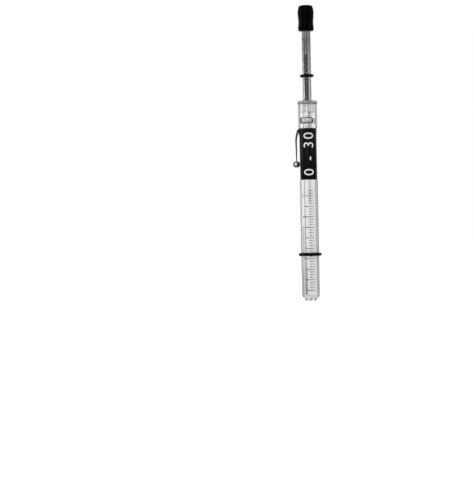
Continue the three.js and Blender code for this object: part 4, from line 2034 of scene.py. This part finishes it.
    def cap(self) -> None:
        """Builds the soft cap, which bulges at its skirt and its head and is pushed on the rod."""
        low, high = span("push_cap")
        socket, socket_top = self.rod_radius + self.socket_gap, self.rod_high + self.socket_over
        side = through([(radius, low + share * (high - low)) for radius, share in self.cap_side], steps=5)
        inside = [(0.0, socket_top), (socket, socket_top), (socket, low + self.socket_chamfer)]
        bm = revolve([*inside, *side, (0.0, high)], self.sides)
        made = to_object("push_cap_moulded", bm, CAP_VINYL)
        dress(made, Body.PLUNGER, Slot.CAP, "push_cap")


@dataclass
class ReadingRings:
    """The two O-rings that stay where the reading was."""

    wall: float = 1.5
    section_sides: int = 28
    sides: int = 120
    flash: float = 0.03
    force_tilt: float = math.radians(1.2)

    def ring(self, name: str, node: str, body: Body, tilt: float) -> None:
        """Builds one O-ring with the fine line of its mould.

        Args:
            name: Name of the piece.
            node: The frame's node that it stands for.
            body: The body it moves with.
            tilt: How far it leans to the left on what carries it.
        """
        low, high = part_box(node)
        outer, tube = high.x / MM, self.wall / 2
        height, tall = (low.z + high.z) / 2 / MM, (high.z - low.z) / self.wall / MM
        profile = []
        for i in range(self.section_sides):
            angle = FULL_TURN * i / self.section_sides
            reach = tube + (self.flash if i in (0, self.section_sides // 2) else 0.0)
            side = outer - tube - self.flash + reach * math.cos(angle)
            profile.append((side, tall * tube * math.sin(angle)))
        bm = revolve(profile, self.sides)
        lifted = Matrix.Translation((0, 0, height))
        bmesh.ops.transform(bm, matrix=lifted @ Matrix.Rotation(tilt, 4, "Y"), verts=bm.verts)
        dress(to_object(name, bm, RING_RUBBER), body, Slot.RUBBER, node)

    def build(self) -> None:
        """Builds both rings."""
        self.ring("force_o_ring", "force_ring", Body.FORCE_RING, -self.force_tilt)
        self.ring("deflection_o_ring", "deflection_ring", Body.DEFLECTION_RING, 0.0)


@dataclass
class Spring:
    """The measuring spring in the barrel, and the washer it stands on."""

    barrel: Barrel
    wire: float = 1.3
    diameter: float = 6.6
    active: int = 26
    end_pitch: float = 1.8
    points_per_coil: int = 28
    ground: float = 0.22
    stroke: float = 37.0
    washer_wall: float = 1.9
    washer_round: float = 0.15
    washer_burr: float = 0.1
    sides: int = 96

    def build(self) -> None:
        """Builds the spring and the washer."""
        low, high = span("compression_spring")
        half = self.wire / 2
        shape = CoilShape()
        coil = shape.make(
            "measuring_spring",
            WIRE_METAL,
            Points=(self.active + shape.closed_coils) * self.points_per_coil + 1,
            Active=float(self.active),
            Low=low + half,
            High=high - half,
            End_Pitch=self.end_pitch,
            Reach=self.diameter / 2,
            Wire=half,
            Ground_Low=low + self.ground,
            Ground_High=high - self.ground,
        )
        dress(coil, Body.BARREL, Slot.SPRING_STEEL, "compression_spring")
        washer_low, washer_high = span("seat_washer")
        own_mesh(coil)
        outer = self.barrel.bore - self.barrel.spigot_gap
        low, high = (outer - self.washer_wall, washer_low), (outer, washer_high)
        profile = box_outline(low, high, (self.washer_burr, self.washer_round) * 2, steps=3)
        washer = to_object("seat_washer_pressed", revolve(profile, self.sides), WASHER_METAL)
        dress(washer, Body.BARREL, Slot.SPRING_STEEL, "seat_washer")


@dataclass
class PocketClip:
    """The open band round the barrel, the leaf down its left side, and the ball on the leaf's end."""

    barrel: Barrel
    thickness: float = 0.35
    slip: float = 0.05
    strip: float = 0.3
    band_start: float = math.radians(65)
    band_end: float = math.radians(250)
    band_corner: float = 0.7
    band_edge: float = 0.08
    knee_drop: float = 1.05
    lug_half: float = 0.45
    lug_reach: float = 0.5
    lug_sunk: float = 0.2
    lug_corner: float = 0.15
    root_thickness: float = 1.0
    tip_thickness: float = 0.5
    leaf_root: float = 3.4
    leaf_tip: float = 1.6
    tip_stand: float = 1.42
    straight_parts: int = 4
    edge: float = 0.14
    # Distance from the band and drop from its top, from the straight leaf up over the lug.
    hook: tuple[Point2, ...] = (
        (1.55, 8.6),
        (1.54, 7.3),
        (1.46, 6.0),
        (1.26, 4.6),
        (0.97, 3.4),
        (0.73, 2.5),
        (0.50, 1.7),
        (0.22, 1.05),
        (-0.12, 0.62),
    )
    ball_radius: float = 1.95
    ball_rings: int = 36
    ball_sides: int = 64
    bearing: float = 2.18
    bearing_from: float = 0.7
    bluntness: float = 3.2
    tang: float = 1.1

    def __post_init__(self) -> None:
        """Works out the clip's heights from the frame."""
        self.band_low, self.band_high = span("clip_band")
        ball_low, ball_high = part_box("clip_ball")
        self.ball_height = (ball_low.z + ball_high.z) / 2 / MM
        self.ball_x = (ball_low.x + ball_high.x) / 2 / MM
        self.knee_z = self.band_high - self.knee_drop
        self.outer = self.barrel.lower_radius + self.slip + self.thickness

    def band(self) -> None:
        """Builds the band with the pressed lug that holds the leaf's knee."""
        inner, half = self.outer - self.thickness, self.leaf_root / 2
        low, high = (-self.band_end * inner, self.band_low), (-self.band_start * inner, self.band_high)
        outline = box_outline(low, high, self.band_corner)
        wall = wrapped(plate(outline, self.thickness, self.band_edge), inner, self.strip)
        low, high = (-half, self.knee_z - self.lug_half), (half, self.knee_z + self.lug_half)
        lug = plate(box_outline(low, high, self.lug_corner, steps=4), self.lug_reach)
        for v in lug.verts:
            v.co = Vector((self.lug_sunk - self.outer - v.co.y, v.co.x, v.co.z))
        made = to_object("clip_band_pressed", gathered([wall, lug]), CLIP_METAL)
        dress(made, Body.BARREL, Slot.BLACK_STEEL, "clip_band")

    def leaf_line(self) -> list[Point2]:
        """Gives the line down the middle of the leaf's thickness.

        Returns:
            Pairs of X and height, from the tip in the ball up to the hook on the band.
        """
        bend = [(-self.outer - reach, self.band_high - drop) for reach, drop in self.hook]
        tip = Vector((-self.outer - self.tip_stand, self.ball_height + self.ball_radius - self.tang))
        shares = [i / self.straight_parts for i in range(self.straight_parts)]
        straight = [tuple(tip.lerp(Vector(bend[0]), share)) for share in shares]
        return through([*straight, *bend], steps=6)

    def leaf(self) -> None:
        """Builds the leaf as a flat strip with rounded edges that follows its line."""
        line = [Vector(point) for point in self.leaf_line()]
        low, high = line[0].y, self.band_low
        rings = []
        for i, here in enumerate(line):
            along = (line[min(i + 1, len(line) - 1)] - line[max(i - 1, 0)]).normalized()
            out = Vector((-along.y, along.x))
            share = min(max((here.y - low) / (high - low), 0.0), 1.0)
            half = (self.leaf_tip + (self.leaf_root - self.leaf_tip) * share) / 2
            wall = (self.tip_thickness + (self.root_thickness - self.tip_thickness) * share) / 2
            outline = box_outline((-wall, -half), (wall, half), self.edge, steps=4)
            places = [(here + out * across, y) for across, y in outline]
            rings.append([(place.x, y, place.y) for place, y in places])
        made = to_object("clip_leaf_pressed", lofted(rings), CLIP_METAL)
        dress(made, Body.CLIP, Slot.BLACK_STEEL, "clip_arm")

    def ball(self) -> None:
        """Builds the ball, blunt on the side that bears on the barrel, where it is painted dark as a
        reflection.
        """
        radius, power = self.ball_radius, self.bluntness
        angles = [HALF_TURN * i / self.ball_rings - QUARTER_TURN for i in range(1, self.ball_rings)]
        curve = [(radius * math.cos(angle), radius * math.sin(angle)) for angle in angles]
        bm = revolve([(0.0, -radius), *curve, (0.0, radius)], self.ball_sides)
        for v in bm.verts:
            if v.co.x > 0:
                off = min(v.co.yz.length / radius, 1.0)
                v.co.x = self.bearing * (1 - off**power) ** (1 / power)
        bmesh.ops.translate(bm, vec=(self.ball_x, 0, self.ball_height), verts=bm.verts)
        made = to_object("clip_ball_polished", bm, BALL_METAL, BALL_PAINTED_REFLECTION)
        # The bearing side gets the painted dark reflection.
        paint(made, lambda middle, normal: 1 if middle.x > self.ball_x + self.bearing_from else 0)
        dress(made, Body.CLIP, Slot.POLISHED_STEEL, "clip_ball")


@dataclass
class Studio:
    """The floor, the world, the lamps and the camera."""

    floor_size: float = 40.0
    ambient: float = 0.62
    aim_height: float = 0.1
    distance: float = 1.294
    azimuth: float = math.radians(4.5)
    off_centre: float = math.radians(1.98)
    eye_height: float = 0.0316
    roll: float = math.radians(1.1)
    focal_pixels: float = 2130.0
    sensor: float = 36.0
    nearest: float = 0.05
    farthest: float = 100.0

    def floor(self) -> None:
        """Lays the pale floor under the nose."""
        half = self.floor_size / 2
        mesh = bpy.data.meshes.new("studio_floor")
        corners = [(-half, -half, 0), (half, -half, 0), (half, half, 0), (-half, half, 0)]
        mesh.from_pydata(corners, [], [(0, 1, 2, 3)])
        mesh.materials.append(FLOOR_PAPER.material())
        floor = in_scene("studio_floor", mesh)

    def world(self) -> None:
        """Lights all round evenly, and is white to the camera, in gloss and through clear plastic."""
        world = bpy.data.worlds.new("studio_world")
        world.use_nodes = True
        tree = world.node_tree
        tree.nodes.clear()
        rays = add_node(tree, "ShaderNodeLightPath").outputs
        seen = rays["Is Camera Ray"]
        for name in ("Is Glossy Ray", "Is Transmission Ray"):
            seen = add_node(tree, "ShaderNodeMath", (seen, rays[name]), operation="MAXIMUM")
        strength = add_node(tree, "ShaderNodeMapRange", {"Value": seen, "To Min": self.ambient})
        light = {"Color": linear("#FFFFFF"), "Strength": strength}
        sky = add_node(tree, "ShaderNodeBackground", light)
        add_node(tree, "ShaderNodeOutputWorld", {"Surface": sky})
        bpy.context.scene.world = world

    def lamp(self, name: str, place: Point3, size: Point2, power: float) -> None:
        """Hangs one soft box, aimed at the middle of the object.

        Args:
            name: Name of the lamp.
            place: Where it hangs, in metres.
            size: Its width and height in metres.
            power: Its power in watts.
        """
        data = bpy.data.lights.new(name, "AREA")
        data.shape, data.size, data.size_y = "RECTANGLE", size[0], size[1]
        data.energy = power
        lamp = in_scene(name, data)
        lamp.location = place
        aim = Vector((0, 0, self.aim_height)) - Vector(place)
        lamp.rotation_euler = aim.to_track_quat("-Z", "Y").to_euler()

    def lamps(self) -> None:
        """Hangs the soft boxes: a key on the left, a strip in front, a fill on the right and one behind."""
        self.lamp("key_left", place=(-1.13, -0.2, 0.3), size=(0.14, 0.8), power=3.0)
        self.lamp("strip_front", place=(-0.23, -1.18, 0.3), size=(0.06, 0.8), power=2.0)
        self.lamp("fill_right", place=(1.0, -0.58, 0.25), size=(0.14, 0.8), power=1.6)
        self.lamp("soft_back", place=(0.25, 1.1, 0.6), size=(0.6, 0.6), power=1.6)

    def camera(self) -> None:
        """Sets the camera at the photograph's angle: level, a little to the right, and rolled."""
        data = bpy.data.cameras.new("photo_camera")
        data.sensor_width = self.sensor
        data.lens = self.focal_pixels * self.sensor / PHOTO_HEIGHT
        data.clip_start, data.clip_end = self.nearest, self.farthest
        camera = in_scene("photo_camera", data)
        x, y = self.distance * math.sin(self.azimuth), -self.distance * math.cos(self.azimuth)
        camera.location = (x, y, self.eye_height)
        level = Matrix.Rotation(QUARTER_TURN, 3, "X")
        aimed = Matrix.Rotation(self.azimuth + self.off_centre, 3, "Z") @ level
        camera.rotation_euler = (aimed @ Matrix.Rotation(-self.roll, 3, "Z")).to_euler()
        bpy.context.scene.camera = camera

    def build(self) -> None:
        """Sets up the whole studio."""
        scene = bpy.context.scene
        scene.view_settings.view_transform = "Standard"
        scene.cycles.transparent_max_bounces = TRANSPARENT_LAYERS
        self.world()
        self.floor()
        self.lamps()
        self.camera()


def main() -> None:
    """Builds the checker around its frame."""
    logging.basicConfig(level=logging.INFO, format="%(message)s")
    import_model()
    Studio().build()
    ticks = TickRow()
    barrel = Barrel()
    barrel.tube()
    barrel.rims()
    barrel.nose()
    scale = DeflectionScale(barrel)
    scale.film()
    scale.marks(ticks)
    scale.figures()
    Label(barrel).build()
    Bush(barrel).build()
    plunger = Plunger()
    plunger.rod()
    plunger.force_scale(ticks)
    plunger.collar()
    plunger.snap_ring()
    plunger.cap()
    ReadingRings().build()
    Spring(barrel).build()
    clip = PocketClip(barrel)
    clip.band()
    clip.leaf()
    clip.ball()


if __name__ == "__main__":
    main()
